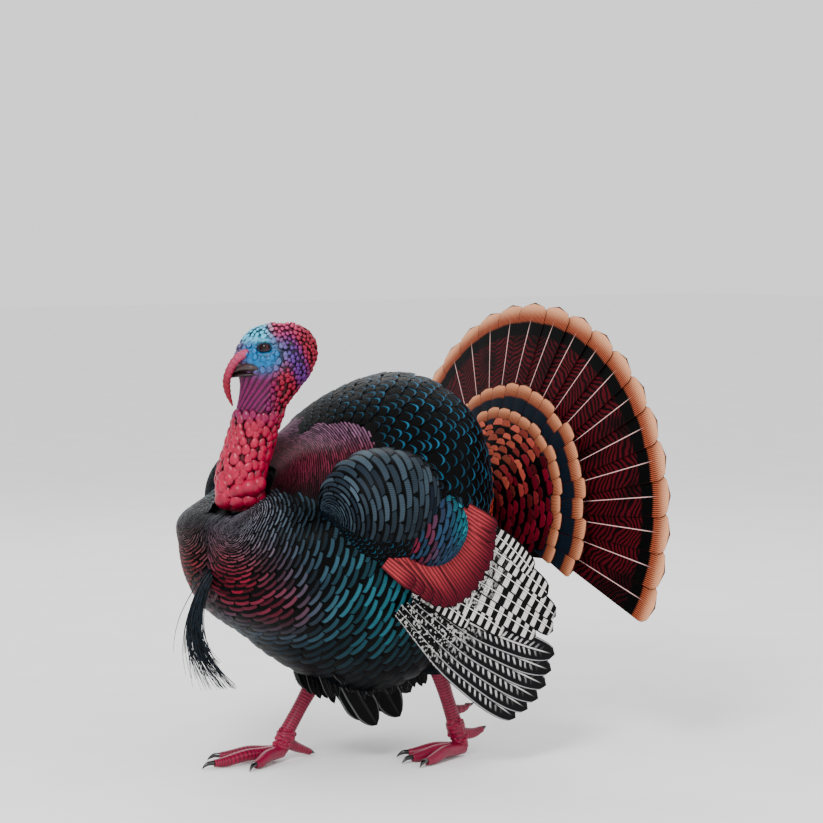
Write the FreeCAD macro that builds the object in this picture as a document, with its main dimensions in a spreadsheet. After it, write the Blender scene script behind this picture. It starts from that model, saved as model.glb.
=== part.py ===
"""Full-body turkey gobbler decoy in strut: hollow feathered body on two walking legs, a turning head
and neck, drooped wings, and a tail fan whose feathers fold about one pivot on a tilting arm.

The bird faces -X, its left side is -Y and +Z is up. The origin is on the ground, below the middle of
the decoy's bounding box. Millimetres and degrees throughout.
"""

import FreeCAD, Part
import math
import os
from FreeCAD import Placement, Rotation, Vector

ALONG_X = Rotation(Vector(0, 1, 0), 90)
ALONG_Y = Rotation(Vector(1, 0, 0), -90)
POLES_OUT = Rotation(Vector(1, 0, 0), -60)
NEAR, FAR = -1, 1
LEFT, RIGHT = "left", "right"

# Driving dimensions: alias, value, what it is
DIMENSIONS = [
    ("datum", -11, "shift along X that sets the origin below the middle of the finished decoy"),
    ("wall", 3, "body shell wall"),
    ("skin", 5, "head moulding wall"),
    ("neck_axis", -228, "X of the axis that the head turns about"),
    ("neck_yaw", -28, "head turned to the bird's right, degrees"),
    ("seat_floor", 402, "height of the neck seat's floor"),
    ("seat_front", 54, "neck seat radius in front, where the wattle swings"),
    ("seat_back", 46, "neck seat radius behind the neck"),
    ("seat_split", -213, "X where the two seat radii meet"),
    ("post_radius", 12, "neck post"),
    ("post_play", 0.08, "running clearance of the neck post"),
    ("post_top", 480, "top of the neck post inside the neck"),
    ("socket_foot", 300, "underside of the neck socket, on the spine"),
    ("socket_top", 396, "top of the neck socket"),
    ("tail_lean", 6, "how far the tail leans back about its hinge at rest, degrees"),
    ("hub_at", 234, "X of the front face of the first fan feather, tail upright"),
    ("hub_high", 378, "height of the fan pivot"),
    ("fan_radius", 334, "fan pivot to feather tip, square to the axis"),
    ("fan_cone", 12, "how far the feathers lean back, degrees"),
    ("fan_step", 10.2, "angle between neighbouring feathers, spread"),
    ("feather_tip", 33, "tip radius of a fan feather"),
    ("feather_root", 14, "width of a fan feather at the pivot"),
    ("feather_thick", 0.8, "fan feather thickness along the axis"),
    ("feather_pitch", 1.25, "distance between layers of the fan"),
    ("eyelet", 9, "flat eyelet radius at the pivot"),
    ("pivot_radius", 4, "fan pivot screw"),
    ("pivot_play", 0.3, "clearance of a feather's eyelet"),
    ("covert_radius", 186, "outer tail covert ring"),
    ("rump_radius", 133, "inner tail covert ring"),
    ("covert_foot", 70, "how far the covert rings reach below the pivot"),
    ("covert_thick", 2, "covert ring thickness"),
    ("hinge_at", 222, "X of the tail hinge"),
    ("hinge_high", 318, "height of the tail hinge"),
    ("hinge_radius", 4, "tail hinge pin"),
    ("hinge_play", 0.06, "running clearance of the tail hinge"),
    ("lug_half", 7.5, "half thickness of the tail arm's lug"),
    ("ear_thick", 5, "tail bracket ear"),
    ("spine_half", 3, "half thickness of the spine plate"),
    ("stake_at", -30, "X of the stake socket"),
    ("stake_bore", 6.6, "bore radius for a 13 mm ground stake"),
    ("stake_tube", 11, "stake socket tube radius"),
    ("stake_mouth", 102, "height of the stake socket's mouth"),
    ("stake_depth", 140, "bore depth of the stake socket"),
    ("yoke_high", 250, "underside of the leg yoke"),
    ("core_radius", 5, "steel core of a leg"),
    ("leg_radius", 10.5, "leg moulding"),
    ("ankle_radius", 13.5, "ankle joint"),
    ("toe_radius", 7, "toe at its root"),
    ("claw_radius", 4, "toe at its claw"),
    ("eye_radius", 7.5, "glass eye"),
    ("wing_plane", 203, "distance of the secondaries' inner face from the middle plane"),
    ("covert_out", 222, "distance of the wing coverts' outermost point from the middle plane"),
    ("blade_thick", 1.8, "primary feather thickness, each lying on the next"),
    ("boss_radius", 7, "post between the wing and the body"),
]
FEATHERS_A_SIDE = 11

# Level sections of the body: height, middle X, half length, half width
BODY = [
    (114, 0, 22, 14),
    (124, 0, 58, 42),
    (146, -4, 100, 84),
    (176, -12, 144, 120),
    (212, -22, 180, 150),
    (256, -40, 222, 174),
    (300, -43, 240, 187),
    (345, -42, 244, 192),
    (385, -38, 239, 192),
    (405, -20, 221, 190),
    (430, -7, 205, 184),
    (480, 20, 170, 166),
    (530, 38, 134, 130),
    (566, 49, 87, 84),
    (584, 56, 50, 48),
    (592, 59, 21, 20),
]
# Level sections of the head and neck in the head's own frame: height, middle X, half length, half width
HEAD = [
    (403, 2, 31, 29),
    (430, -4, 36, 31),
    (460, -2, 37, 32),
    (500, 10, 37, 32),
    (540, 22, 37, 31),
    (564, 30, 38, 30),
    (586, 40, 43, 32),
    (606, 47, 52, 36),
    (626, 49, 59, 38),
    (646, 52, 57, 35),
    (661, 54, 49, 28),
    (673, 56, 34, 18),
    (680, 60, 14, 8),
]
# Beard: height, X, Y, radius
BEARD = [(316, -287, -12, 5), (285, -306, -8, 8), (241, -316, 0, 10), (190, -302, 0, 9), (139, -268, -6, 3)]
# Snood, in the head's own frame: X, height, lean of the section, radius
SNOOD = [(6, 643, 66, 4), (-14, 634, 54, 6), (-31, 612, 24, 7), (-34, 590, -3, 6), (-24, 562, -20, 1.5)]
# Legs: thigh middle and radii, top of the leg, ankle, toe tips, where the toes leave the ankle, spur
LEGS = {
    RIGHT: {
        "thigh": (-38, 62, 138, 45, 36, 40),
        "top": (-45, 62, 130),
        "ankle": (-101, 70, 42),
        "toes": [(-232, 84, 3.5), (-186, 34, 3.5), (-190, 130, 3.5), (-52, 76, 5)],
        "knuckle": (-112, 70, 14),
        "spur": (-78, 72, 66),
    },
    LEFT: {
        "thigh": (84, -62, 172, 45, 36, 40),
        "top": (90, -62, 150),
        "ankle": (122, -70, 50),
        "toes": [(34, -68, 3.5), (56, -30, 3.5), (34, -106, 3.5)],
        "knuckle": (136, -70, 12),
        "hallux": (176, -70, 36),
        "spur": (160, -70, 80),
    },
}
# Bosses that join the shell halves: X, height
BOSSES = [(-205, 236), (-120, 470), (-60, 168), (95, 555), (130, 230)]
# Secondaries panel outline: X, height
PANEL = [(-108, 318), (-30, 388), (36, 388), (80, 364), (139, 320), (180, 274), (210, 216), (190, 206),
         (28, 250), (-12, 248), (-76, 280)]
# First and last primary feather: root X, root height, tip X, tip height, half width
PRIMARIES = [(-40, 276, 212, 166, 17), (-84, 262, 158, 72, 22)]
PRIMARY_COUNT = 6
# Posts between each wing and the body: X, height
WING_POSTS = [(-60, 350), (-16, 372)]
# Undertail feathers: Y, root X, root height, tip X, tip height, half width
UNDERTAIL = [(-27, -62, 140, 0, 60, 13), (0, 4, 150, 66, 62, 14), (27, 50, 170, 108, 92, 13)]

doc = FreeCAD.newDocument("gobbler_decoy")
sheet = doc.addObject("Spreadsheet::Sheet", "sizes")
parts = []


def fill_sheet():
    """Writes every driving dimension, and the body and head sections, into the sheet."""
    rows = [(alias, value) for alias, value, _ in DIMENSIONS]
    for family, sections in (("body", BODY), ("head", HEAD)):
        for i, section in enumerate(sections):
            rows += zip((f"{family}_{i}_{k}" for k in ("high", "place", "deep", "half")), section)
    for n, (alias, value) in enumerate(rows, 1):
        sheet.set(f"A{n}", str(value))
        sheet.setAlias(f"A{n}", alias)
    for n, (_, _, note) in enumerate(DIMENSIONS, 1):
        sheet.set(f"B{n}", "'" + note)
    doc.recompute()


def size(alias):
    """The sheet's value of one dimension."""
    return float(getattr(sheet, alias))


def make(kind, name, bind=None, at=None, turn=None, **values):
    """A document object with fixed values, values bound to the sheet, and a placement."""
    obj = doc.addObject(kind, name)
    for key, value in values.items():
        setattr(obj, key, value)
    if at is not None or turn is not None:
        obj.Placement = Placement(Vector(*(at or (0, 0, 0))), turn or Rotation())
    for key, expression in (bind or {}).items():
        obj.setExpression(key, expression)
    return obj


def sub_part(obj, label, turn=Rotation(), base=Vector()):
    """A finished sub-part of the decoy, turned and moved to its place above the ground datum."""
    bind = {"Placement.Base.x": f"sizes.datum + {base.x}"}
    obj.Label = label + "_solid"
    placed = make("Part::Compound", "placed_" + label, bind, tuple(base), turn, Links=[obj])
    placed.Label = label
    parts.append(placed)


def fuse(name, shapes):
    return make("Part::MultiFuse", name, Shapes=shapes)


def cut(name, base, *tools):
    tool = tools[0] if len(tools) == 1 else fuse(name + "_tools", list(tools))
    return make("Part::Cut", name, Base=base, Tool=tool)


def common(name, shapes):
    return make("Part::MultiCommon", name, Shapes=shapes)


def leaned(obj, label):
    """A sub-part of the tail, built upright and then leaned back about the tail hinge."""
    turn = Rotation(Vector(0, 1, 0), size("tail_lean"))
    hinge = Vector(size("hinge_at"), 0, size("hinge_high"))
    sub_part(obj, label, turn, hinge - turn.multVec(hinge))


def mirrored(name, source):
    return make("Part::Mirroring", name, Source=source, Normal=Vector(0, 1, 0), Base=Vector(0, 0, 0))


def rod(name, start, end, radius, end_radius=None, bind=None):
    """A round bar, or a tapered one, from start to end."""
    start, end = Vector(*start), Vector(*end)
    turn = Rotation(Vector(0, 0, 1), end - start)
    if end_radius is None:
        obj = make("Part::Cylinder", name, bind, start, turn, Radius=radius, Height=(end - start).Length)
    else:
        obj = make("Part::Cone", name, bind, start, turn, Radius1=radius, Radius2=end_radius,
                   Height=(end - start).Length)
    return obj


def ellipse_loft(name, ellipses):
    return make("Part::Loft", name, Sections=ellipses, Solid=True, Ruled=False)


def stacked_form(name, family, sections, inset):
    """A loft through one family's level sections, or the cavity inside it where inset is a wall's alias."""
    middle = (sections[0][0] + sections[-1][0]) / 2
    half = (sections[-1][0] - sections[0][0]) / 2
    rings = []
    for i in range(len(sections)):
        ring = f"sizes.{family}_{i}_"
        bind = {
            "MajorRadius": f"{ring}deep - {inset}",
            "MinorRadius": f"{ring}half - {inset}",
            "Placement.Base.x": f"{ring}place",
            "Placement.Base.z": f"{middle} + ({ring}high - {middle}) * (1 - {inset} / {half})",
        }
        rings.append(make("Part::Ellipse", f"{name}_{i}", bind))
    return ellipse_loft(name, rings)


def upright(name, radius, low, high, x="0", y="0"):
    """A vertical cylinder whose radius, ends and place are expressions."""
    bind = {"Radius": radius, "Height": f"({high}) - ({low})", "Placement.Base.z": low,
            "Placement.Base.x": x, "Placement.Base.y": y}
    return make("Part::Cylinder", name, bind)


def axial(name, radius, front, back):
    """A cylinder on the fan's axis, from front to back along X."""
    bind = {"Radius": radius, "Height": f"({back}) - ({front})", "Placement.Base.x": front,
            "Placement.Base.z": "sizes.hub_high"}
    return make("Part::Cylinder", name, bind, turn=ALONG_X)


def neck_seat(name, spare):
    """What the neck seat takes out of the body: wide in front of the neck and narrow behind it."""
    floor = f"sizes.seat_floor - {spare}"
    front = upright(name + "_front", f"sizes.seat_front + {spare}", floor, "700", "sizes.neck_axis")
    keep = make("Part::Box", name + "_side", {"Placement.Base.x": f"sizes.seat_split - 300 + {spare}"},
                (0, -150, 300), Length=300, Width=300, Height=500)
    back = upright(name + "_back", f"sizes.seat_back + {spare}", floor, "700", "sizes.neck_axis")
    return fuse(name, [common(name + "_half", [front, keep]), back])


def body_shells():
    """The outer form without its neck seat, and the two shell halves with bosses and screws."""
    outer = cut("body_solid", stacked_form("body_outer", "body", BODY, "0"), neck_seat("seat", "0"))
    cavity = stacked_form("body_inner", "body", BODY, "sizes.wall")
    inner = cut("body_cavity", cavity, neck_seat("seat_skin", "sizes.wall"))
    neck_hole = upright("neck_hole", "22", "350", "420", "sizes.neck_axis")
    stake_hole = upright("stake_hole", "sizes.stake_tube", "100", "160", "sizes.stake_at")
    tail_slot = make("Part::Box", "tail_slot", at=(180, -16, 298), Length=60, Width=32, Height=42)
    holes = [neck_hole, stake_hole, tail_slot, beard_plug("beard_hole")]
    holes += [core_hole(side) for side in LEGS]
    shell = cut("body_hollow", outer, inner)
    shell = cut("body_open", shell, *holes)
    screws = []
    for side, sign in ((LEFT, NEAR), (RIGHT, FAR)):
        half_space = make("Part::Box", f"{side}_space", at=(-400, -300 if sign < 0 else 0, 50),
                          Length=700, Width=300, Height=700)
        half = common(f"{side}_half", [shell, half_space])
        posts = [make("Part::Cylinder", f"{side}_boss_{i}", at=(x, 0 if sign > 0 else -200, z), turn=ALONG_Y,
                      Radius=7, Height=200) for i, (x, z) in enumerate(BOSSES)]
        bosses = common(f"{side}_bosses", [fuse(f"{side}_posts", posts), outer])
        whole = fuse(f"{side}_whole", [half, bosses])
        drills = []
        for i, (x, z) in enumerate(BOSSES):
            drills.append(make("Part::Cylinder", f"{side}_drill_{i}", at=(x, -14, z), turn=ALONG_Y, Radius=2.1,
                               Height=214))
            if sign > 0:
                drills.append(make("Part::Cylinder", f"{side}_sink_{i}", at=(x, 10, z), turn=ALONG_Y, Radius=4.5,
                                   Height=200))
        sub_part(cut(f"body_{side}", whole, *drills), f"body_shell_{side}")
    for i, (x, z) in enumerate(BOSSES):
        shank = make("Part::Cylinder", f"screw_shank_{i}", at=(x, -13, z), turn=ALONG_Y, Radius=2, Height=24)
        head = make("Part::Cylinder", f"screw_head_{i}", at=(x, 10.1, z), turn=ALONG_Y, Radius=4, Height=4)
        screws.append(fuse(f"shell_screw_{i}", [shank, head]))
    sub_part(make("Part::Compound", "shell_screws", Links=screws), "shell_screws")
    return outer


def core_line(side):
    """The two ends of a leg's steel core: at the yoke and in the ankle."""
    leg = LEGS[side]
    top, ankle = Vector(*leg["top"]), Vector(*leg["ankle"])
    rise = (size("yoke_high") + 8 - ankle.z) / (top.z - ankle.z)
    return ankle + (top - ankle) * rise, ankle


def core_hole(side):
    high, low = core_line(side)
    return rod(f"core_hole_{side}", low, high, 6)


def leg(side, outer):
    """One leg: feathered thigh cuff, moulded shank and foot, claws and the steel core."""
    data = LEGS[side]
    high, ankle = core_line(side)
    x, y, z, rx, ry, rz = data["thigh"]
    cuff = make("Part::Ellipsoid", f"cuff_{side}", at=(x, y, z), Radius1=rz, Radius2=rx, Radius3=ry,
                Angle1=-90, Angle2=90, Angle3=360)
    bind = {"Radius": "sizes.core_radius"}
    core = rod(f"core_{side}", ankle, high, 5, bind=bind)
    yoke_space = make("Part::Box", f"yoke_space_{side}", {"Placement.Base.z": "sizes.yoke_high"},
                      at=(-100, -100, 0), Length=300, Width=200, Height=60)
    sub_part(cut(f"core_{side}_cut", core, yoke_space), f"leg_core_{side}")
    top = Vector(*data["top"])
    shank = rod(f"shank_{side}", ankle, top, 10.5, bind={"Radius": "sizes.leg_radius"})
    joint = make("Part::Sphere", f"ankle_{side}", {"Radius": "sizes.ankle_radius"}, tuple(ankle))
    knuckle = Vector(*data["knuckle"])
    pieces = [shank, joint, rod(f"instep_{side}", ankle, knuckle, 12, 10)]
    pieces.append(make("Part::Sphere", f"pad_{side}", at=tuple(knuckle), Radius=11))
    claws = []
    toes = list(data["toes"]) + ([data["hallux"]] if "hallux" in data else [])
    for i, tip in enumerate(toes):
        tip = Vector(*tip)
        start = ankle if "hallux" in data and i == len(toes) - 1 else Vector(knuckle.x, knuckle.y, 6)
        end = tip + (start - tip).normalize() * 16
        bind = {"Radius1": "sizes.toe_radius", "Radius2": "sizes.claw_radius"}
        pieces.append(rod(f"toe_{side}_{i}", start, end, 7, 4, bind))
        claws.append(rod(f"claw_{side}_{i}", end, tip, 3.6, 0.8))
    claws.append(rod(f"spur_{side}", ankle + (Vector(*data["spur"]) - ankle) * 0.3, data["spur"], 6, 1))
    ground = make("Part::Box", f"ground_{side}", at=(-400, -300, -60), Length=800, Width=600, Height=60)
    foot = cut(f"foot_{side}", fuse(f"foot_form_{side}", pieces), ground, core, cuff)
    sub_part(foot, f"leg_{side}")
    sub_part(cut(f"claws_{side}", make("Part::Compound", f"claw_set_{side}", Links=claws),
                 fuse(f"foot_space_{side}", pieces), ground), f"claws_{side}")
    drilled = cut(f"cuff_{side}_fit", cuff, outer, core)
    sub_part(drilled, f"thigh_{side}")


def spine():
    """The steel skeleton: spine plate, leg yoke, neck socket and stake socket."""
    plate = doc.addObject("PartDesign::Body", "spine_plate")
    sketch = plane_sketch(plate, "spine_outline", "XZ_Plane", [
        (-252, 266), (-204, 262), (-158, 268), (166, 268), (190, 300), (190, 338), (150, 330), (60, 292), (-158, 292),
        (-198, 300), (-252, 300)])
    pad = plate.newObject("PartDesign::Pad", "spine_pad")
    pad.Profile = sketch
    pad.Midplane = True
    pad.setExpression("Length", "sizes.spine_half * 2")
    doc.recompute()
    window = plane_sketch(plate, "spine_window", "XZ_Plane", [(70, 276), (158, 276), (176, 300), (176, 322), (150, 318)])
    pocket = plate.newObject("PartDesign::Pocket", "spine_pocket")
    pocket.Profile = window
    pocket.Midplane = True
    pocket.Length = 40
    sub_part(plate, "spine_plate")

    yoke = make("Part::Box", "yoke_bar", {"Placement.Base.z": "sizes.yoke_high"}, (20, -72, 0), Length=40,
                Width=144, Height=18)
    sub_part(yoke, "leg_yoke")

    tube = upright("socket_tube", "18", "sizes.socket_foot", "sizes.socket_top", "sizes.neck_axis")
    flange = upright("socket_flange", "24", "sizes.socket_foot", "sizes.socket_foot + 5", "sizes.neck_axis")
    bore = upright("socket_bore", "sizes.post_radius + sizes.post_play", "sizes.socket_foot + 6",
                   "sizes.socket_top + 5", "sizes.neck_axis")
    sub_part(cut("neck_socket", fuse("socket_form", [tube, flange]), bore), "neck_socket")


def stake_socket(outer):
    """The ground-stake socket: a blind tube from the belly up to the spine, with an outer flange."""
    tube = upright("stake_form", "sizes.stake_tube", "sizes.stake_mouth", "268", "sizes.stake_at")
    flange = upright("stake_flange", "22", "sizes.stake_mouth", "128", "sizes.stake_at")
    bore = upright("stake_hole_in", "sizes.stake_bore", "sizes.stake_mouth - 5",
                   "sizes.stake_mouth + sizes.stake_depth", "sizes.stake_at")
    shaped = cut("stake_flange_fit", flange, outer)
    sub_part(cut("stake_socket", fuse("stake_whole", [tube, shaped]), bore), "stake_socket")


def plane_sketch(body, name, role, points):
    """A closed polygon on one of a body's origin planes, its corners held by dimensions."""
    import Sketcher

    sketch = body.newObject("Sketcher::SketchObject", name)
    plane = next(f for f in body.Origin.OriginFeatures if f.Role == role)
    sketch.AttachmentSupport = [(plane, "")]
    sketch.MapMode = "FlatFace"
    corners = [Vector(x, y, 0) for x, y in points]
    for i, corner in enumerate(corners):
        sketch.addGeometry(Part.LineSegment(corner, corners[(i + 1) % len(corners)]), False)
    for i in range(len(corners)):
        sketch.addConstraint(Sketcher.Constraint("Coincident", i, 2, (i + 1) % len(corners), 1))
    for i, corner in enumerate(corners):
        sketch.addConstraint(Sketcher.Constraint("DistanceX", -1, 1, i, 1, corner.x))
        sketch.addConstraint(Sketcher.Constraint("DistanceY", -1, 1, i, 1, corner.y))
    return sketch


def tail_mount():
    """Bracket on the spine's end, the hinge pin, and the tilting arm with the fan's hub plate."""
    outside = "sizes.lug_half + sizes.ear_thick + 0.5"
    base = make("Part::Box", "bracket_base", {"Placement.Base.y": f"-({outside})", "Width": f"2 * ({outside})"},
                (190, 0, 301), Length=14, Height=34)
    ears = make("Part::Box", "bracket_ears", {"Placement.Base.y": f"-({outside})", "Width": f"2 * ({outside})",
                                               "Length": "sizes.hinge_at - 204"}, (204, 0, 304), Height=28)
    tips = make("Part::Cylinder", "bracket_tips", {
        "Height": f"2 * ({outside})", "Placement.Base.x": "sizes.hinge_at",
        "Placement.Base.y": f"-({outside})", "Placement.Base.z": "sizes.hinge_high"}, turn=ALONG_Y, Radius=14)
    gap = make("Part::Box", "bracket_gap", {"Placement.Base.y": "-sizes.lug_half - 0.5",
                                             "Width": "2 * sizes.lug_half + 1"}, (204, 0, 280), Length=60, Height=80)
    pin_bind = {"Radius": "sizes.hinge_radius", "Placement.Base.x": "sizes.hinge_at",
                "Placement.Base.z": "sizes.hinge_high"}
    pin = make("Part::Cylinder", "hinge_bar", pin_bind, (0, -18, 0), ALONG_Y, Height=36)
    sub_part(cut("bracket", fuse("bracket_form", [base, ears, tips]), gap, pin), "tail_bracket")
    knob_bind = {k: pin_bind[k] for k in ("Placement.Base.x", "Placement.Base.z")}
    knob = make("Part::Cylinder", "hinge_knob", knob_bind, (0, 14, 0), ALONG_Y, Radius=11, Height=10)
    sub_part(cut("hinge_knob_cut", knob, pin), "tail_knob")
    head = make("Part::Cylinder", "hinge_head", knob_bind, (0, -21, 0), ALONG_Y, Radius=7, Height=3)
    sub_part(fuse("hinge_pin", [pin, head]), "tail_hinge_pin")

    arm = doc.addObject("PartDesign::Body", "arm_body")
    sketch = plane_sketch(arm, "arm_outline", "XZ_Plane", [
        (212, 306), (232, 306), (232, 330), (227, 345), (227, 402), (219, 402), (219, 345), (212, 330)])
    pad = arm.newObject("PartDesign::Pad", "arm_pad")
    pad.Profile = sketch
    pad.Midplane = True
    pad.setExpression("Length", "sizes.lug_half * 2")
    plate = axial("hub_plate", "24", "221", "227")
    bore = make("Part::Cylinder", "arm_bore", {**knob_bind, "Radius": "sizes.hinge_radius + sizes.hinge_play"},
                (0, -20, 0), ALONG_Y, Height=40)
    pivot_hole = axial("pivot_hole", "sizes.pivot_radius", "200", "300")
    leaned(cut("tail_arm_whole", fuse("arm_form", [arm, plate]), bore, pivot_hole), "tail_arm")


def cone_shell(name, thick, front, outline):
    """A thin cone about the fan's axis, flat inside the eyelet, cut to an outline and drilled."""
    bind = {
        "Radius1": "sizes.eyelet",
        "Radius2": "sizes.eyelet + 100 / tan(sizes.fan_cone)",
        "Placement.Base.x": front,
        "Placement.Base.z": "sizes.hub_high",
    }
    outer = make("Part::Cone", name + "_outer", bind, turn=ALONG_X, Height=100)
    inner = make("Part::Cone", name + "_inner", {**bind, "Placement.Base.x": f"{front} + {thick}"}, turn=ALONG_X,
                 Height=100)
    drill = axial(name + "_drill", "sizes.pivot_radius + sizes.pivot_play", "200", "300")
    return common(name, [cut(name + "_shell", outer, inner, drill), outline])


def feather_blade():
    """One fan feather pointing up at the pivot, its root on the fan's axis at the first layer."""
    tip = make("Part::Cylinder", "blade_tip", {
        "Radius": "sizes.feather_tip", "Placement.Base.z": "sizes.hub_high + sizes.fan_radius - sizes.feather_tip",
        "Placement.Base.x": "sizes.hub_at"}, turn=ALONG_X, Height=90)
    vane = make("Part::Wedge", "blade_vane", {
        "X2max": "90", "Xmax": "90",
        "Ymax": "sizes.fan_radius - sizes.feather_tip",
        "Zmin": "-sizes.feather_root / 2", "Zmax": "sizes.feather_root / 2",
        "Z2min": "-sizes.feather_tip", "Z2max": "sizes.feather_tip",
        "Placement.Base.x": "sizes.hub_at", "Placement.Base.z": "sizes.hub_high"},
        turn=Rotation(Vector(1, 0, 0), 90), Xmin=0, X2min=0, Ymin=0)
    eyelet = axial("blade_eyelet", "sizes.eyelet", "sizes.hub_at", "sizes.hub_at + 5")
    outline = fuse("blade_outline", [tip, vane, eyelet])
    return cone_shell("blade", "sizes.feather_thick", "sizes.hub_at", outline)


def fan():
    """Feathers in layers on the pivot, middle one in front, with the coverts, pivot screw and nut."""
    blade = feather_blade()
    layers = 2 * FEATHERS_A_SIDE + 1
    for side, sign in (("middle", 0), (LEFT, 1), (RIGHT, -1)):
        for i in range(1, FEATHERS_A_SIDE + 1) if sign else [0]:
            layer = 2 * i - (1 if sign > 0 else 0)
            name = f"fan_feather_{side}_{i:02d}" if sign else "fan_feather_middle"
            turn = Rotation(Vector(1, 0, 0), sign * i * size("fan_step"))
            hub = Vector(0, 0, size("hub_high"))
            base = hub - turn.multVec(hub) + Vector(layer * size("feather_pitch"), 0, 0)
            leaned(make("Part::Compound", name + "_turned", at=tuple(base), turn=turn, Links=[blade]), name)
    for name, radius, front in (("tail_covert_ring", "sizes.covert_radius", "sizes.hub_at - 3"),
                                ("rump_covert_ring", "sizes.rump_radius", "sizes.hub_at - 6")):
        disc = axial(name + "_disc", radius, "200", "320")
        below = make("Part::Box", name + "_below", {"Placement.Base.z": "sizes.hub_high - sizes.covert_foot - 300"},
                     (150, -300, 0), Length=200, Width=600, Height=300)
        outline = cut(name + "_outline", disc, below)
        leaned(cone_shell(name + "_cone", "sizes.covert_thick", front, outline), name)
    back = f"sizes.hub_at + {layers} * sizes.feather_pitch"
    screw = fuse("pivot_form", [
        axial("pivot_shank", "sizes.pivot_radius", "216", f"{back} + 12"),
        axial("pivot_head", "10", "214", "219")])
    leaned(screw, "fan_pivot_screw")
    washer = axial("washer", "sizes.eyelet", f"{back} + 0.2", f"{back} + 2.2")
    nut = axial("nut", "8", f"{back} + 2.2", f"{back} + 9")
    shank = axial("nut_bore", "sizes.pivot_radius", "200", "320")
    leaned(cut("fan_nut_whole", fuse("nut_form", [washer, nut]), shank), "fan_nut")


def blade_between(name, root, tip, half, level):
    """A flat long oval feather between two points of a plane beside the body."""
    length = math.hypot(tip[0] - root[0], tip[1] - root[1])
    oval = make("Part::Ellipse", name + "_oval", MajorRadius=length / 2, MinorRadius=half)
    lean = math.degrees(math.atan2(tip[1] - root[1], tip[0] - root[0]))
    stand = Rotation(Vector(1, 0, 0), 90)
    oval.Placement = Placement(Vector((root[0] + tip[0]) / 2, level, (root[1] + tip[1]) / 2),
                               Rotation(Vector(0, -1, 0), lean) * stand)
    return make("Part::Extrusion", name, {"LengthFwd": "sizes.blade_thick"}, Base=oval, DirMode="Custom",
                Dir=Vector(0, 1, 0), Solid=True)


def wings(outer):
    """Each wing: a covert shell that hugs the body, a secondaries panel and a set of primaries."""
    panel = doc.addObject("PartDesign::Body", "panel_body")
    sketch = plane_sketch(panel, "panel_outline", "XZ_Plane", PANEL)
    sketch.setExpression("AttachmentOffset.Base.z", "sizes.wing_plane")
    pad = panel.newObject("PartDesign::Pad", "panel_pad")
    pad.Profile = sketch
    pad.Length = 2
    coverts, hollow = (
        make("Part::Ellipsoid", name, {"Radius3": f"sizes.covert_out - 150 - {inset}"}, (-76, -150, 404),
             Radius1=88 - inset, Radius2=110 - inset, Angle1=-90, Angle2=90, Angle3=360)
        for name, inset in (("covert_form", 0), ("covert_hollow", size("wall"))))
    posts = [make("Part::Cylinder", f"wing_post_{i}", {"Radius": "sizes.boss_radius",
                  "Placement.Base.y": "-sizes.wing_plane - 2.5"}, (x, 0, z), ALONG_Y, Height=60)
             for i, (x, z) in enumerate(WING_POSTS)]
    drilled = cut("panel_drilled", panel, *posts)
    blades = []
    for i in range(PRIMARY_COUNT):
        share = i / (PRIMARY_COUNT - 1)
        first, last = PRIMARIES
        xr, zr, xt, zt, half = (a + (b - a) * share for a, b in zip(first, last))
        zt -= 14 * math.sin(math.pi * share)
        level = i * size("blade_thick") - size("wing_plane")
        blades.append(blade_between(f"primary_{i}", (xr, zr), (xt, zt), half, level))
    primaries = make("Part::Compound", "primaries", Links=blades)
    skin = cut("covert_skin", coverts, hollow)
    shell = cut("wing_coverts", fuse("wing_form", [skin, *posts]), outer, drilled)
    sub_part(shell, "wing_left")
    sub_part(drilled, "wing_left_secondaries")
    sub_part(primaries, "wing_left_primaries")
    sub_part(mirrored("wing_right", shell), "wing_right")
    sub_part(mirrored("panel_right", drilled), "wing_right_secondaries")
    sub_part(mirrored("primaries_right", primaries), "wing_right_primaries")


def head():
    """Head and neck moulding with its post, beak, snood, wattle and eyes, turned on the neck axis."""
    form = stacked_form("head_outer", "head", HEAD, "0")
    cavity = stacked_form("head_inner", "head", HEAD, "sizes.skin")
    post = fuse("post_form", [
        upright("post_bar", "sizes.post_radius", "sizes.socket_foot + 8", "sizes.post_top"),
        upright("post_collar", "18", "sizes.socket_top + 0.3", "sizes.head_0_high")])
    eyes = [make("Part::Sphere", f"eye_{i}", {"Radius": "sizes.eye_radius"}, (30, y, 646), POLES_OUT) for i, y in
            enumerate((-27.5, 27.5))]
    beak = fuse("beak_form", [
        rod("beak_upper", (16, 0, 622), (-26, 0, 604), 14, 2),
        rod("beak_lower", (16, 0, 609), (-17, 0, 601), 9, 1.5)])
    snood = ellipse_loft("snood_form", [
        make("Part::Ellipse", f"snood_{i}", at=(x, 0, z), turn=Rotation(Vector(0, 1, 0), -lean),
             MajorRadius=r, MinorRadius=0.98 * r) for i, (x, z, lean, r) in enumerate(SNOOD)])
    balls = [make("Part::Sphere", "wattle_front", at=(-24, -2, 421), Radius=16),
             make("Part::Sphere", "wattle_side", at=(6, -18, 440), Radius=18)]
    turned = [
        (cut("head_moulding", form, cavity, post, *eyes), "head_and_neck"),
        (post, "neck_post"),
        (make("Part::Compound", "eye_pair", Links=eyes), "eyes"),
        (cut("beak_cut", beak, form, snood), "beak"),
        (cut("snood_cut", snood, form), "snood"),
        (cut("wattle_cut", fuse("wattle_form", balls), form, post), "wattle"),
    ]
    turn = Rotation(Vector(0, 0, 1), size("neck_yaw"))
    for obj, label in turned:
        sub_part(obj, label, turn, Vector(size("neck_axis"), 0, 0))


def beard_plug(name):
    """The plug that holds the beard in the breast."""
    return rod(name, (-298, -12, 311), (-274, -12, 315), 6)


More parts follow.
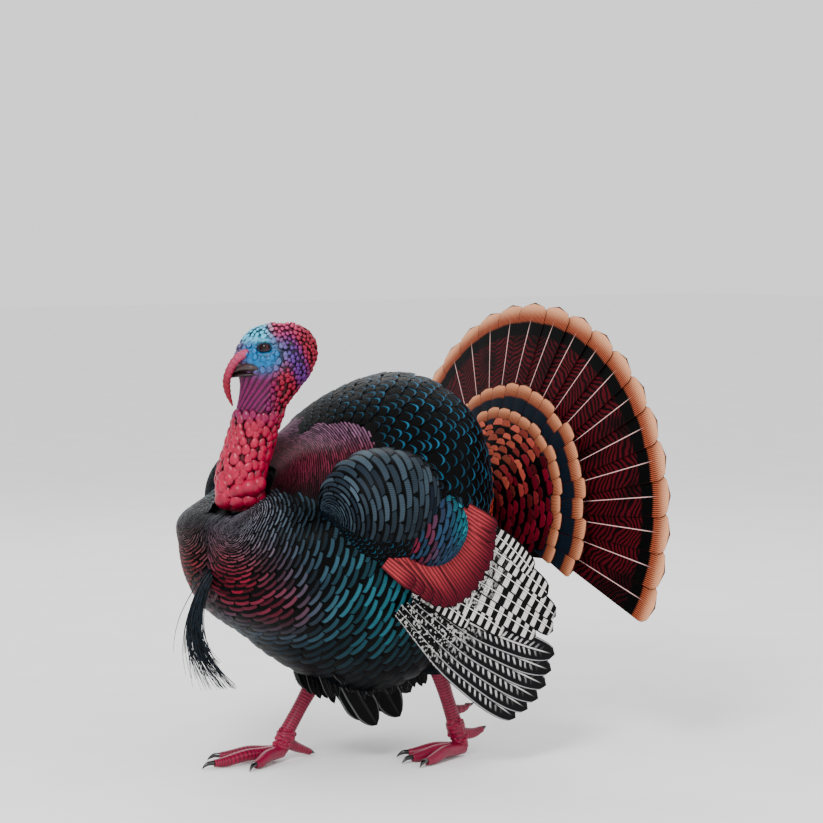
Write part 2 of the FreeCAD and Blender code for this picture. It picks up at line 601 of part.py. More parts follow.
def beard(outer):
    """The bristle beard, hanging from its plug at the middle of the breast."""
    sections = [make("Part::Ellipse", f"beard_{i}", at=(x, y, z), MajorRadius=r, MinorRadius=0.98 * r)
                for i, (z, x, y, r) in enumerate(BEARD)]
    tuft = cut("beard_tuft", ellipse_loft("beard_form", sections), outer)
    sub_part(fuse("beard", [tuft, beard_plug("beard_plug")]), "beard")


def undertail(outer):
    """The pointed feathers that hang below the vent."""
    blades = [blade_between(f"undertail_{i}", (xr, zr), (xt, zt), half, level)
              for i, (level, xr, zr, xt, zt, half) in enumerate(UNDERTAIL)]
    sub_part(cut("undertail_cut", make("Part::Compound", "undertail", Links=blades), outer), "undertail_feathers")


def check_and_write():
    """Stops on any failed object or bad shape, then writes one STEP file for each sub-part."""
    doc.recompute()
    for obj in doc.Objects:
        if "Invalid" in obj.State or "Error" in obj.State:
            raise RuntimeError(f"{obj.Name} ({obj.Label}) failed: {obj.State}")
    os.makedirs("parts", exist_ok=True)
    for old in os.listdir("parts"):
        os.remove(os.path.join("parts", old))
    for obj in parts:
        shape = obj.Shape
        if shape.isNull() or not shape.isValid() or not shape.Solids:
            raise RuntimeError(f"{obj.Label} has a bad shape")
        solids = [s for s in shape.Solids if s.Volume > 1]
        out = solids[0] if len(solids) == 1 else Part.makeCompound(solids)
        out.exportStep(f"parts/{obj.Label}.step")
        print(f"{obj.Label:26s} {len(solids)} solids {out.Volume / 1000:9.2f} cm3")
    print(len(parts), "nodes")


fill_sheet()
outer_form = body_shells()
spine()
stake_socket(outer_form)
for leg_side in LEGS:
    leg(leg_side, outer_form)
wings(outer_form)
tail_mount()
fan()
head()
beard(outer_form)
undertail(outer_form)
check_and_write()
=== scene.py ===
"""Looks of the strutting turkey decoy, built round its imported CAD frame.

Lengths are in millimetres until a mesh is made."""

import math

import bpy
import numpy as np
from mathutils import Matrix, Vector


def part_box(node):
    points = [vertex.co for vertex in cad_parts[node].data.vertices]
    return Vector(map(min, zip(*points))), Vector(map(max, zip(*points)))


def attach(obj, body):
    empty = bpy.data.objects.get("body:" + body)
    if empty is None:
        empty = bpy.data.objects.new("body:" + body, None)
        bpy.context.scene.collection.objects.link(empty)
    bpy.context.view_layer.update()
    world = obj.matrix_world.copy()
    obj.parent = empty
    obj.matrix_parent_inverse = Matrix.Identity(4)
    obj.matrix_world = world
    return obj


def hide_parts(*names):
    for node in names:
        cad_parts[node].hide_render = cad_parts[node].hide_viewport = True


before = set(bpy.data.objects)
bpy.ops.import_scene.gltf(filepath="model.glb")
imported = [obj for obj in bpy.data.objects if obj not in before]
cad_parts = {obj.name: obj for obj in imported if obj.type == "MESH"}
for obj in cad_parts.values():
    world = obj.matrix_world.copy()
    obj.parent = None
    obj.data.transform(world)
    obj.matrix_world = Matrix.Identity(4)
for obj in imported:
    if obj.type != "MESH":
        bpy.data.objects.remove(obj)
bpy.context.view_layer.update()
rng = np.random.default_rng(11)

low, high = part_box("stake_socket")
STAKE_AT = -30.0
SHIFT = (low.x + high.x) / 2 * 1000 - STAKE_AT

# Body form: height, middle X, half length, half width
BODY = np.array([
    (114, 0, 22, 14), (124, 0, 58, 42), (146, -4, 100, 84), (176, -12, 144, 120), (212, -22, 180, 150),
    (256, -40, 222, 174), (300, -43, 240, 187), (345, -42, 244, 192), (385, -38, 239, 192),
    (405, -20, 221, 190), (430, -7, 205, 184), (480, 20, 170, 166), (530, 38, 134, 130),
    (566, 49, 87, 84), (584, 56, 50, 48), (592, 59, 21, 20)], float)
BODY_LOW, BODY_HIGH = BODY[0, 0], BODY[-1, 0]
# Head and neck form in the head's own frame, same columns
HEAD = np.array([
    (403, 2, 27, 26), (430, -4, 32, 28), (460, -2, 33, 29), (500, 10, 33, 29), (540, 22, 34, 29),
    (564, 30, 36, 30), (586, 40, 43, 32), (606, 47, 52, 36), (626, 49, 59, 38), (646, 52, 57, 35),
    (661, 54, 49, 28), (673, 56, 34, 18), (680, 60, 14, 8)], float)
HEAD_LOW, HEAD_HIGH = HEAD[0, 0], HEAD[-1, 0]
NECK_AT = -228.0
NECK_YAW = math.radians(-28)
MIDDLE = np.array([-30.0, 0.0, 345.0])
HUB = np.array([234.0, 0.0, 378.0])
HINGE = np.array([222.0, 0.0, 318.0])
LEAN = math.radians(6)
FAN_RADIUS = 334.0
FAN_CONE = math.tan(math.radians(12))
FAN_STEP = math.radians(10.2)
FAN_PITCH = 1.25
FAN_SIDE_COUNT = 11


def rgb(r, g, b):
    """Linear colour of an sRGB triple of 0 to 255."""
    return np.array([(c / 255) ** 2.2 for c in (r, g, b)])


BLACK = rgb(4, 5, 7)


def unit(v):
    v = np.asarray(v, float)
    return v / np.linalg.norm(v, axis=-1, keepdims=True)


def smooth(x, start, end):
    t = np.clip((x - start) / (end - start), 0, 1)
    return t * t * (3 - 2 * t)


def blend(a, b, t):
    return a + (b - a) * np.asarray(t)[..., None]


def vary(values, low, high):
    """Each row of values times its own random factor."""
    return values * rng.uniform(low, high, (len(values), 1))


def spline(table, z):
    """Smooth values of a table's other columns at z, its first column."""
    x, y = table[:, 0], table[:, 1:]
    slope = np.gradient(y, x, axis=0)
    i = np.clip(np.searchsorted(x, z) - 1, 0, len(x) - 2)
    h = (x[i + 1] - x[i])[..., None]
    t = np.clip((z - x[i])[..., None] / h, 0, 1)
    start = (1 + 2 * t) * (1 - t) ** 2 * y[i] + t * (1 - t) ** 2 * h * slope[i]
    return start + t * t * (3 - 2 * t) * y[i + 1] + t * t * (t - 1) * h * slope[i + 1]


# ---- meshes

class Batch:
    """Many small point grids gathered into one mesh with UVs, a tint and a rim value."""

    def __init__(self):
        self.parts = []

    def add(self, points, tint=BLACK, rim=0.0, flip=False):
        """points is (grids, rows, columns, 3); tint is one colour, one a grid or one a point."""
        points = np.asarray(points, float)
        if points.ndim == 3:
            points = points[None]
        k, m, n = points.shape[:3]
        tint = np.asarray(tint, float)
        if tint.ndim == 1:
            tint = np.broadcast_to(tint, (k, m, n, 3))
        elif tint.ndim == 2:
            tint = np.broadcast_to(tint[:, None, None], (k, m, n, 3))
        rim = np.broadcast_to(rim, (k, m, n))
        v, u = np.meshgrid(np.linspace(0, 1, m), np.linspace(0, 1, n), indexing="ij")
        uv = np.broadcast_to(np.stack([u, v], -1), (k, m, n, 2))
        self.parts.append((points, uv, tint, rim, flip))

    def make(self, name, material, body, slot, replaces=(), turn=None):
        verts, faces, uvs, tints, rims, offset = [], [], [], [], [], 0
        for points, uv, tint, rim, flip in self.parts:
            k, m, n = points.shape[:3]
            ids = np.arange(k * m * n).reshape(k, m, n) + offset
            corners = [ids[:, :-1, :-1], ids[:, :-1, 1:], ids[:, 1:, 1:], ids[:, 1:, :-1]]
            if flip:
                corners.reverse()
            faces.append(np.stack(corners, -1).reshape(-1, 4))
            verts.append(points.reshape(-1, 3))
            uvs.append(uv.reshape(-1, 2))
            tints.append(tint.reshape(-1, 3))
            rims.append(rim.reshape(-1))
            offset += k * m * n
        verts, faces = np.concatenate(verts), np.concatenate(faces)
        if turn is not None:
            verts = turn(verts)
        verts = (verts + [SHIFT, 0, 0]) * 0.001
        mesh = bpy.data.meshes.new(name)
        mesh.vertices.add(len(verts))
        mesh.vertices.foreach_set("co", verts.astype(np.float32).ravel())
        mesh.loops.add(len(faces) * 4)
        mesh.loops.foreach_set("vertex_index", faces.astype(np.int32).ravel())
        mesh.polygons.add(len(faces))
        mesh.polygons.foreach_set("loop_start", np.arange(len(faces), dtype=np.int32) * 4)
        mesh.polygons.foreach_set("use_smooth", np.ones(len(faces), bool))
        mesh.update()
        mesh.uv_layers.new(name="UVMap").data.foreach_set(
            "uv", np.concatenate(uvs)[faces.ravel()].astype(np.float32).ravel())
        tint = np.concatenate([np.concatenate(tints), np.ones((offset, 1))], 1)
        mesh.attributes.new("tint", "FLOAT_COLOR", "POINT").data.foreach_set(
            "color", tint.astype(np.float32).ravel())
        mesh.attributes.new("rim", "FLOAT", "POINT").data.foreach_set(
            "value", np.concatenate(rims).astype(np.float32))
        mesh.materials.append(material)
        obj = bpy.data.objects.new(name, mesh)
        bpy.context.scene.collection.objects.link(obj)
        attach(obj, body)
        if replaces:
            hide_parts(*replaces)


def curve_through(points, count):
    """count evenly spread points on a smooth curve through points, of any number of columns."""
    points = np.asarray(points, float)
    return spline(np.column_stack([np.arange(len(points)), points]), np.linspace(0, len(points) - 1, count))


def tube(points, count=24, around=12, wave=None, flat=1.0):
    """A closed round sweep through (x, y, z, radius) points as one grid."""
    path = curve_through(points, count)
    centre, radius = path[:, :3], path[:, 3]
    along = unit(np.gradient(centre, axis=0))
    side = unit(np.cross(along, (0.03, 1.0, 0.05)))
    up = np.cross(side, along)
    if wave is not None:
        radius = radius * wave(np.linspace(0, 1, count))
    angle = np.linspace(0, 2 * math.pi, around + 1)
    ring = np.cos(angle)[None, :, None] * side[:, None] + flat * np.sin(angle)[None, :, None] * up[:, None]
    body = centre[:, None] + ring * radius[:, None, None]
    ends = [np.repeat(centre[i][None, None], around + 1, 1) for i in (0, -1)]
    return np.concatenate([ends[0], body, ends[1]])


def blobs(centres, axes, frames, rows=8, columns=12, lump=0.0):
    """Ellipsoids: axes are half sizes along each frame's rows."""
    down, round_turn = np.linspace(0, math.pi, rows), np.linspace(0, 2 * math.pi, columns + 1)
    t, p = np.meshgrid(down, round_turn, indexing="ij")
    ball = np.stack([np.sin(t) * np.cos(p), np.sin(t) * np.sin(p), np.cos(t)], -1)
    if lump:
        ball = ball * (1 + lump * np.sin(3 * p + 1) * np.sin(t) ** 2 * np.sin(2 * t))[..., None]
    local = ball[None] * np.asarray(axes)[:, None, None]
    return np.asarray(centres)[:, None, None] + np.einsum("kmni,kij->kmnj", local, frames)


def frames_about(normal, along):
    """One orthonormal frame per normal, its first axis near along and its third the normal."""
    first = unit(along - normal * np.sum(along * normal, -1, keepdims=True))
    return np.stack([first, np.cross(normal, first), normal], 1)


# ---- forms that feathers lie on

def outside_body(p):
    row = spline(BODY, np.clip(p[..., 2], BODY_LOW, BODY_HIGH))
    inside = ((p[..., 0] - row[..., 0]) / row[..., 1]) ** 2 + (p[..., 1] / row[..., 2]) ** 2 < 1
    return ~(inside & (p[..., 2] > BODY_LOW) & (p[..., 2] < BODY_HIGH))


# Swellings of the feathered form: point, spread in degrees, height
SWELLS = [
    ((-272, -84, 330), 18, 13), ((-262, -76, 388), 11, 12), ((-196, -150, 352), 14, 16),
    ((-170, -84, 480), 16, 24), ((-192, -132, 420), 8, -10), ((-110, -80, 520), 8, -5),
    ((-222, -84, 408), 8, 8), ((-300, 0, 340), 6, -9)]
SWELLS += [((x, -y, z), spread, height) for (x, y, z), spread, height in SWELLS if y]


class BodyForm:
    """The body as a radius for each direction from its middle."""

    def __init__(self):
        down, round_turn = np.linspace(0.001, math.pi - 0.001, 181), np.linspace(0, 2 * math.pi, 361)
        theta, phi = np.meshgrid(down, round_turn, indexing="ij")
        d = np.stack([np.sin(theta) * np.cos(phi), np.sin(theta) * np.sin(phi), np.cos(theta)], -1)
        near, far = np.full(theta.shape, 20.0), np.full(theta.shape, 420.0)
        for _ in range(22):
            half = (near + far) / 2
            out = outside_body(MIDDLE + d * half[..., None])
            near, far = np.where(out, near, half), np.where(out, half, far)
        radius = near + 1.5
        for point, spread, height in SWELLS:
            angle = np.degrees(np.arccos(np.clip(d @ unit(np.array(point) - MIDDLE), -1, 1)))
            radius = radius + height * np.exp(-(angle / spread) ** 2)
        self.points = MIDDLE + d * radius[..., None]
        normal = np.cross(np.gradient(self.points, axis=0), np.gradient(self.points, axis=1))
        self.normals = unit(normal + 1e-6 * d)

    def at(self, d):
        i = np.clip(np.arccos(np.clip(d[..., 2], -1, 1)) / math.pi * 180, 0, 179.999)
        j = np.arctan2(d[..., 1], d[..., 0]) % (2 * math.pi) / (2 * math.pi) * 360
        j = np.clip(j, 0, 359.999)
        a, b = i.astype(int), j.astype(int)
        s, t = (i - a)[..., None], (j - b)[..., None]

        def pick(g):
            return (g[a, b] * (1 - s) * (1 - t) + g[a + 1, b] * s * (1 - t)
                    + g[a, b + 1] * (1 - s) * t + g[a + 1, b + 1] * s * t)

        return pick(self.points), unit(pick(self.normals))


class EllipsoidForm:
    def __init__(self, centre, radii):
        self.centre, self.radii = np.array(centre, float), np.array(radii, float)

    def at(self, d):
        return self.centre + d * self.radii, unit(d / self.radii)


class Flow:
    """Feather rows on a form, running from a front pole to a back pole.

    u grows towards the back and a turns about the poles from the top, positive on the bird's left."""

    def __init__(self, form, front, back, top=(0, 0, 1)):
        self.form = form
        self.front, self.back = (self.flat(unit(np.array(p, float))) for p in (front, back))
        self.top = np.angle(self.number(unit(np.array(top, float))))
        left = np.angle(np.exp(1j * (np.angle(self.number(np.array([0.0, -1.0, 0.0]))) - self.top)))
        self.sign = 1 if left > 0 else -1

    @staticmethod
    def flat(p):
        return (p[..., 0] + 1j * p[..., 2]) / (1 - p[..., 1] + 1e-9)

    def number(self, p):
        z = self.flat(p)
        return (z - self.front) / (z - self.back)

    def at(self, u, a):
        w = np.exp(u + 1j * (self.top + self.sign * a))
        z = (self.front - w * self.back) / (1 - w + 1e-9)
        size = np.abs(z) ** 2
        return self.form.at(np.stack([2 * z.real, size - 1, 2 * z.imag], -1) / (size + 1)[..., None])

    def angle(self, p):
        """The turn about the poles of points p on a radial form."""
        turn = np.angle(self.number(unit(p - MIDDLE))) - self.top
        return self.sign * np.angle(np.exp(1j * turn))

    def lay(self, u, a, du, da, overlap=2.6, lift=0.34, camber=0.10, arch=0.16, taper=0.85, base=0.5,
            rows=6, columns=5):
        """One feather grid for each root at u, a. du and da are the exposed length and the width."""
        s = np.linspace(0, 1, rows)[:, None] ** 0.8
        c = np.linspace(-1, 1, columns)[None]
        width = 0.55 + 0.45 * smooth(s, 0, 0.5) - (1 - taper) * smooth(s, 0.72, 1.0)
        uu = u[:, None, None] + du * overlap * (s - arch * c * c * s * s)
        aa = a[:, None, None] + 0.56 * da * c * width
        points, normals = self.at(uu, aa)
        first, second = self.at(u, a)[0], self.at(u + du, a)[0]
        exposed = np.linalg.norm(second - first, axis=-1)[:, None, None]
        height = base + exposed * (lift * s ** 1.6 + camber * (1 - c * c) * width)
        return points + normals * height[..., None], second

    def cover(self, low, high, step, count, jitter=0.1, **shape):
        """Staggered rows of feathers from low to high, count to a full turn: grids, tips and turns."""
        da = 2 * math.pi / count
        u, a = [], []
        for i, row in enumerate(np.arange(low, high, step)):
            angles = np.arange(-math.pi, math.pi, da) + (i % 2) * da / 2
            u.append(row + step * jitter * rng.standard_normal(len(angles)))
            a.append(angles + da * jitter * rng.standard_normal(len(angles)))
        u, a = np.concatenate(u), np.concatenate(a)
        return *self.lay(u, a, step, da, **shape), a


# ---- materials

class Shade:
    """Small helper that wires one procedural material."""

    def __init__(self, name):
        self.material = bpy.data.materials.new(name)
        self.material.use_nodes = True
        self.tree = self.material.node_tree
        self.tree.nodes.clear()

    def put(self, socket, value):
        if isinstance(value, bpy.types.NodeSocket):
            self.tree.links.new(value, socket)
        elif value is not None:
            if socket.type == "RGBA" and len(value) == 3:
                value = (*value, 1.0)
            socket.default_value = value

    def add(self, kind, *inputs, **settings):
        node = self.tree.nodes.new(kind)
        for key, value in settings.items():
            setattr(node, key, value)
        for i, value in enumerate(inputs):
            self.put(node.inputs[i], value)
        return node

    def math(self, operation, a, b=0.0, c=0.0):
        return self.add("ShaderNodeMath", a, b, c, operation=operation).outputs[0]

    def plus(self, a, b):
        return self.math("ADD", a, b)

    def minus(self, a, b):
        return self.math("SUBTRACT", a, b)

    def larger(self, a, b):
        return self.math("MAXIMUM", a, b)

    def line(self, x, slope, start):
        return self.math("MULTIPLY_ADD", x, slope, start)

    def times(self, *values):
        result = values[0]
        for value in values[1:]:
            result = self.math("MULTIPLY", result, value)
        return result

    def opposite(self, x):
        return self.minus(1.0, x)

    def step(self, x, start, end):
        node = self.add("ShaderNodeMapRange", x, start, end, 0.0, 1.0, interpolation_type="SMOOTHSTEP")
        return node.outputs[0]

    def fall(self, x, start, end):
        return self.opposite(self.step(x, start, end))

    def mix(self, factor, a, b):
        node = self.add("ShaderNodeMix", factor, data_type="RGBA")
        self.put(node.inputs[6], a)
        self.put(node.inputs[7], b)
        return node.outputs[2]

    def uv(self):
        """Across a feather, along it, and 0 in its middle to 1 on its edges."""
        node = self.add("ShaderNodeSeparateXYZ", self.add("ShaderNodeUVMap", uv_map="UVMap").outputs[0])
        u, v = node.outputs[0], node.outputs[1]
        return u, v, self.math("ABSOLUTE", self.line(u, 2.0, -1.0))

    def tint(self):
        return self.add("ShaderNodeAttribute", attribute_name="tint").outputs[0]

    def rim(self):
        return self.add("ShaderNodeAttribute", attribute_name="rim").outputs[2]

    def noise(self, scale, detail=3.0):
        place = self.add("ShaderNodeTexCoord").outputs[3]
        return self.add("ShaderNodeTexNoise", place, None, scale, detail).outputs[0]

    def waves(self, x, count, sharp=0.35):
        """0 to 1 stripes, count of them for each unit of x."""
        wave = self.math("SINE", self.times(x, 2 * math.pi * count))
        return self.step(wave, -sharp, sharp)

    def surface(self, colour, rough=0.5, bump=None, depth=0.0004, strength=0.6, **extra):
        shader = self.add("ShaderNodeBsdfPrincipled")
        self.put(shader.inputs["Base Color"], colour)
        self.put(shader.inputs["Roughness"], rough)
        for key, value in extra.items():
            self.put(shader.inputs[key.replace("_", " ")], value)
        if bump is not None:
            node = self.add("ShaderNodeBump")
            node.inputs["Strength"].default_value = strength
            node.inputs["Distance"].default_value = depth
            self.put(node.inputs["Height"], bump)
            self.put(shader.inputs["Normal"], node.outputs[0])
        out = self.add("ShaderNodeOutputMaterial")
        self.tree.links.new(shader.outputs[0], out.inputs[0])
        return self.material


def bar_material(name, hatch=14, top=0.93, side=0.84, soft=0.08, rough=0.45):
    """Black feather, partly painted shadow, with a tinted bar that starts at the rim value and is hatched
    with fine barbs.
    """
    m = Shade(name)
    u, v, edge = m.uv()
    start = m.rim()
    # Below the bar the feather stays black: partly its own colour, partly painted shadow of the feather
    # above.
    bar = m.step(v, start, m.plus(start, soft))
    bar = m.times(bar, m.fall(v, top, top + 0.05))
    bar = m.times(bar, m.fall(edge, side, side + 0.1))
    barbs = m.waves(m.plus(u, m.times(m.noise(90.0), 0.05)), hatch, 0.7)
    strength = m.line(barbs, 0.45, 0.62)
    patchy = m.line(m.noise(28.0), 1.1, 0.45)
    colour = m.mix(m.times(bar, strength, patchy), BLACK, m.tint())
    height = m.line(barbs, 0.3, bar)
    return m.surface(colour, rough, height, 0.0006, 0.7, Specular_IOR_Level=0.05)


def copper_material():
    m = Shade("copper_feather")
    u, v, edge = m.uv()
    lines = m.waves(m.plus(u, m.times(m.noise(60.0), 0.10)), 5, 0.9)
    shade = m.mix(m.step(v, 0.30, 0.95), rgb(152, 52, 58), rgb(76, 6, 28))
    dark = m.line(lines, 0.7, 0.3)
    inside = m.opposite(m.larger(m.step(edge, 0.80, 0.98), m.step(v, 0.93, 0.99)))
    colour = m.mix(m.times(dark, inside), rgb(20, 4, 10), shade)
    return m.surface(colour, 0.45, lines, 0.0005, 0.6, Specular_IOR_Level=0.07)


def secondary_material():
    m = Shade("secondary_feather")
    u, v, edge = m.uv()
    wobble = m.times(m.noise(40.0), 0.02)
    bars = m.waves(m.plus(m.line(m.rim(), 0.06, v), wobble), 9, 0.3)
    bars = m.step(bars, 0.35, 1.0)
    fine = m.waves(v, 56, 0.9)
    white = m.mix(m.times(fine, 0.6), rgb(220, 216, 212), rgb(110, 106, 110))
    root = m.step(v, 0.1, 0.35)
    colour = m.mix(m.times(bars, m.line(root, 0.2, 0.8)), BLACK, white)
    speckle = m.step(m.noise(260.0, 1.0), 0.47, 0.53)
    colour = m.mix(m.times(m.opposite(root), m.rim()), colour, m.mix(speckle, BLACK, white))
    colour = m.mix(m.fall(edge, 0.0, 0.06), colour, rgb(236, 232, 230))
    line = m.fall(m.math("ABSOLUTE", m.minus(edge, 0.10)), 0.0, 0.05)
    colour = m.mix(m.larger(m.step(edge, 0.80, 0.90), m.times(line, 0.9)), colour, BLACK)
    colour = m.mix(m.step(v, 0.955, 0.985), colour, BLACK)
    return m.surface(colour, 0.5, bars, 0.0003, 0.5, Specular_IOR_Level=0.07)


def primary_material():
    m = Shade("primary_feather")
    u, v, edge = m.uv()
    slant = m.line(edge, -0.062, v)
    slant = m.plus(slant, m.times(m.noise(50.0), 0.03))
    bars = m.step(m.waves(slant, 21, 0.8), 0.74, 1.0)
    inner = m.fall(edge, 0.42, 0.62)
    fade = m.fall(v, 0.70, 0.90)
    colour = m.mix(m.times(bars, inner, fade), rgb(12, 12, 15), rgb(172, 170, 170))
    speckle = m.mix(m.step(m.noise(200.0, 1.0), 0.55, 0.60), BLACK, rgb(160, 158, 156))
    colour = m.mix(m.fall(v, 0.20, 0.42), colour, speckle)
    quill = m.fall(edge, 0.03, 0.08)
    gap = m.times(m.step(edge, 0.05, 0.10), m.fall(edge, 0.10, 0.16))
    colour = m.mix(gap, colour, BLACK)
    drawn = m.times(quill, m.fall(v, 0.86, 0.97))
    colour = m.mix(drawn, colour, rgb(190, 188, 186))
    rim = m.times(m.step(edge, 0.84, 0.90), m.fall(edge, 0.93, 0.97))
    colour = m.mix(m.times(rim, 0.55), colour, rgb(190, 190, 192))
    fine = m.waves(m.line(edge, -0.08, v), 120, 0.9)
    height = m.line(fine, 0.4, quill)
    return m.surface(colour, 0.45, height, 0.0006, 0.7, Specular_IOR_Level=0.07)


def dark_feather_material():
    """Pointed black feather with a dotted quill and a fine light edge."""
    m = Shade("dark_feather")
    u, v, edge = m.uv()
    dots = m.times(m.waves(v, 34, 0.3), m.fall(edge, 0.05, 0.13))
    rim = m.times(m.step(edge, 0.80, 0.88), m.fall(edge, 0.92, 0.97))
    light = m.larger(m.times(dots, 0.10), m.times(rim, 0.30))
    fine = m.waves(m.line(edge, -0.12, v), 60, 0.9)
    vane = m.mix(m.times(fine, 0.3), BLACK, rgb(22, 24, 28))
    colour = m.mix(light, vane, rgb(150, 150, 152))
    return m.surface(colour, 0.45, fine, 0.0004, 0.6, Specular_IOR_Level=0.07)


def fan_material():
    m = Shade("fan_feather")
    u, v, edge = m.uv()
    reach = m.plus(v, m.times(m.times(edge, edge), 0.012))
    bend = m.plus(m.times(edge, 0.06), m.times(m.noise(24.0, 2.0), 0.11))
    bars = m.waves(m.plus(v, bend), 34, 0.55)
    maroon = m.mix(m.noise(16.0), rgb(50, 8, 16), rgb(80, 15, 26))
    colour = m.mix(m.times(bars, 0.94), maroon, BLACK)
    colour = m.mix(m.times(m.step(m.noise(11.0), 0.50, 0.66), 0.75), colour, BLACK)
    colour = m.mix(m.step(reach, 0.792, 0.812), colour, BLACK)
    rays = m.waves(m.plus(u, m.times(m.noise(40.0), 0.03)), 21, 0.8)
    buff = m.mix(m.step(v, 0.89, 0.99), rgb(150, 72, 48), rgb(224, 158, 118))
    inner = m.times(rays, m.opposite(m.times(m.step(v, 0.90, 0.985), 0.75)))
    buff = m.mix(m.times(inner, 0.85), buff, rgb(30, 12, 12))
    start = m.plus(0.872, m.times(rays, 0.012))
    colour = m.mix(m.step(reach, start, m.plus(start, 0.014)), colour, buff)
    colour = m.mix(m.step(reach, 0.988, 0.994), colour, rgb(52, 20, 18))
    quill = m.fall(edge, 0.012, 0.03)
    quill = m.times(quill, m.fall(v, 0.80, 0.92))
    colour = m.mix(quill, colour, rgb(222, 176, 172))
    colour = m.mix(m.times(m.step(edge, 0.95, 0.985), 0.9), colour, rgb(30, 10, 12))
    height = m.line(rays, 0.4, quill)
    return m.surface(colour, 0.5, height, 0.0005, 0.6, Specular_IOR_Level=0.06)


def covert_material():
    """Ring feather: dark root, blue-black band and hatched peach tip from the rim value on."""
    m = Shade("covert_feather")
    u, v, edge = m.uv()
    reach = m.plus(v, m.times(m.times(edge, edge), 0.02))
    rays = m.waves(m.plus(u, m.times(m.noise(50.0), 0.05)), 13, 0.8)
    rim = m.rim()
    band = m.mix(m.times(rays, 0.5), BLACK, rgb(30, 44, 60))
    low_tone = m.mix(m.times(rays, 0.6), rgb(150, 78, 52), rgb(40, 18, 14))
    colour = m.mix(m.step(v, m.minus(rim, 0.32), m.minus(rim, 0.26)), low_tone, band)
    peach = m.mix(m.step(v, rim, 0.98), rgb(142, 70, 46), rgb(212, 140, 102))
    hatch = m.line(m.step(v, 0.84, 0.97), -0.6, 0.9)
    peach = m.mix(m.times(rays, hatch), peach, rgb(38, 16, 14))
    colour = m.mix(m.step(reach, rim, m.plus(rim, 0.04)), colour, peach)
    colour = m.mix(m.step(reach, 0.965, 0.985), colour, rgb(48, 18, 16))
    colour = m.mix(m.times(m.step(edge, 0.9, 0.98), 0.85), colour, rgb(40, 14, 14))
    return m.surface(colour, 0.5, rays, 0.0004, 0.6, Specular_IOR_Level=0.06)


def skin_material(name, rough=0.45, grain=300.0, coat=0.08, vary=0.25):
    m = Shade(name)
    grains = m.noise(grain, 4.0)
    broad = m.line(m.noise(60.0), vary * 2, 1.0 - vary)
    colour = m.mix(m.step(grains, 0.25, 0.7), m.mix(0.35, m.tint(), BLACK), m.tint())
    scaled = m.add("ShaderNodeVectorMath", colour, operation="SCALE")
    m.put(scaled.inputs[3], broad)
    return m.surface(scaled.outputs[0], rough, grains, 0.0004, 0.5, Coat_Weight=coat, Coat_Roughness=0.35,
                     Specular_IOR_Level=0.2)


def simple_material(name, first, second, scale, rough, metallic=0.0, depth=0.0001, coat=0.0, shine=0.5):
    m = Shade(name)
    grains = m.noise(scale, 4.0)
    colour = m.mix(m.step(grains, 0.3, 0.7), first, second)
    return m.surface(colour, rough, grains, depth, 0.5, Metallic=metallic, Coat_Weight=coat,
                     Specular_IOR_Level=shine)


bars = bar_material("breast_feather")
arcs = bar_material("back_feather", hatch=9, top=0.955, side=0.90, soft=0.05)
hairs = bar_material("scapular_feather", hatch=7, top=0.97, side=0.97, soft=0.2, rough=0.5)
covert_bars = bar_material("wing_covert_feather", hatch=16, side=0.88)
scales = bar_material("rump_feather", hatch=10, side=0.80, soft=0.06)
copper = copper_material()
white_bars = secondary_material()
chevrons = primary_material()
dark_feather = dark_feather_material()
fan_bands = fan_material()
ring_bands = covert_material()
skin = skin_material("head_skin")
gloss_skin = skin_material("wattle_skin", 0.35, 180.0, 0.2)
leg_skin = skin_material("leg_skin", 0.4, 420.0, 0.2)
horn = skin_material("beak_horn", 0.35, 500.0, 0.3)
claw = simple_material("claw_horn", rgb(5, 5, 6), rgb(22, 18, 18), 160.0, 0.25, coat=0.3)
eye_glass = skin_material("eye_glass", 0.15, 90.0, 0.12, 0.05)
bristle = simple_material("beard_bristle", BLACK, rgb(22, 34, 44), 220.0, 0.4, shine=0.2)
under_black = simple_material("under_feather", BLACK, rgb(12, 13, 17), 140.0, 0.6, shine=0.04)
steel = simple_material("zinc_steel", rgb(150, 152, 156), rgb(186, 188, 190), 240.0, 0.34, 1.0)
alloy = simple_material("plain_alloy", rgb(176, 178, 180), rgb(206, 207, 210), 180.0, 0.42, 1.0)
fitting = simple_material("black_fitting", rgb(20, 20, 21), rgb(38, 38, 40), 320.0, 0.5)

CAD_MATERIALS = {
    under_black: ("body_shell_left", "body_shell_right", "thigh_left", "thigh_right", "wing_left",
                  "wing_right", "tail_covert_ring", "rump_covert_ring"),
    steel: ("shell_screws", "leg_core_left", "leg_core_right", "tail_hinge_pin", "fan_pivot_screw",
            "fan_nut"),
    alloy: ("spine_plate", "leg_yoke", "neck_socket", "tail_bracket", "tail_arm"),
    fitting: ("stake_socket", "tail_knob", "neck_post"),
}
for material, names in CAD_MATERIALS.items():
    for node_name in names:
        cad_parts[node_name].data.materials.clear()
        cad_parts[node_name].data.materials.append(material)


# ---- body feathers

TEAL = rgb(36, 90, 102)
SLATE = rgb(42, 58, 70)
CRIMSON = rgb(108, 16, 38)
# Grey for a painted highlight on the breast beside the neck's foot.
PAINTED_HIGHLIGHT_GREY = rgb(112, 110, 120)
DEEP = rgb(22, 36, 46)
CYAN = rgb(34, 106, 140)
MAUVE = rgb(96, 66, 86)
CORAL = rgb(184, 66, 44)

body_form = BodyForm()
flow = Flow(body_form, (-188, 0, 88), (230, 0, 6))
breast_flow = Flow(body_form, (-236, -56, 44), (200, -60, -60))


# The space the neck and wattle turn in: its foot and its radius in front and behind
NECK_FOOT = 400
NECK_FRONT, NECK_REACH_FRONT, NECK_REACH_BACK = -211, 49.5, 48.0


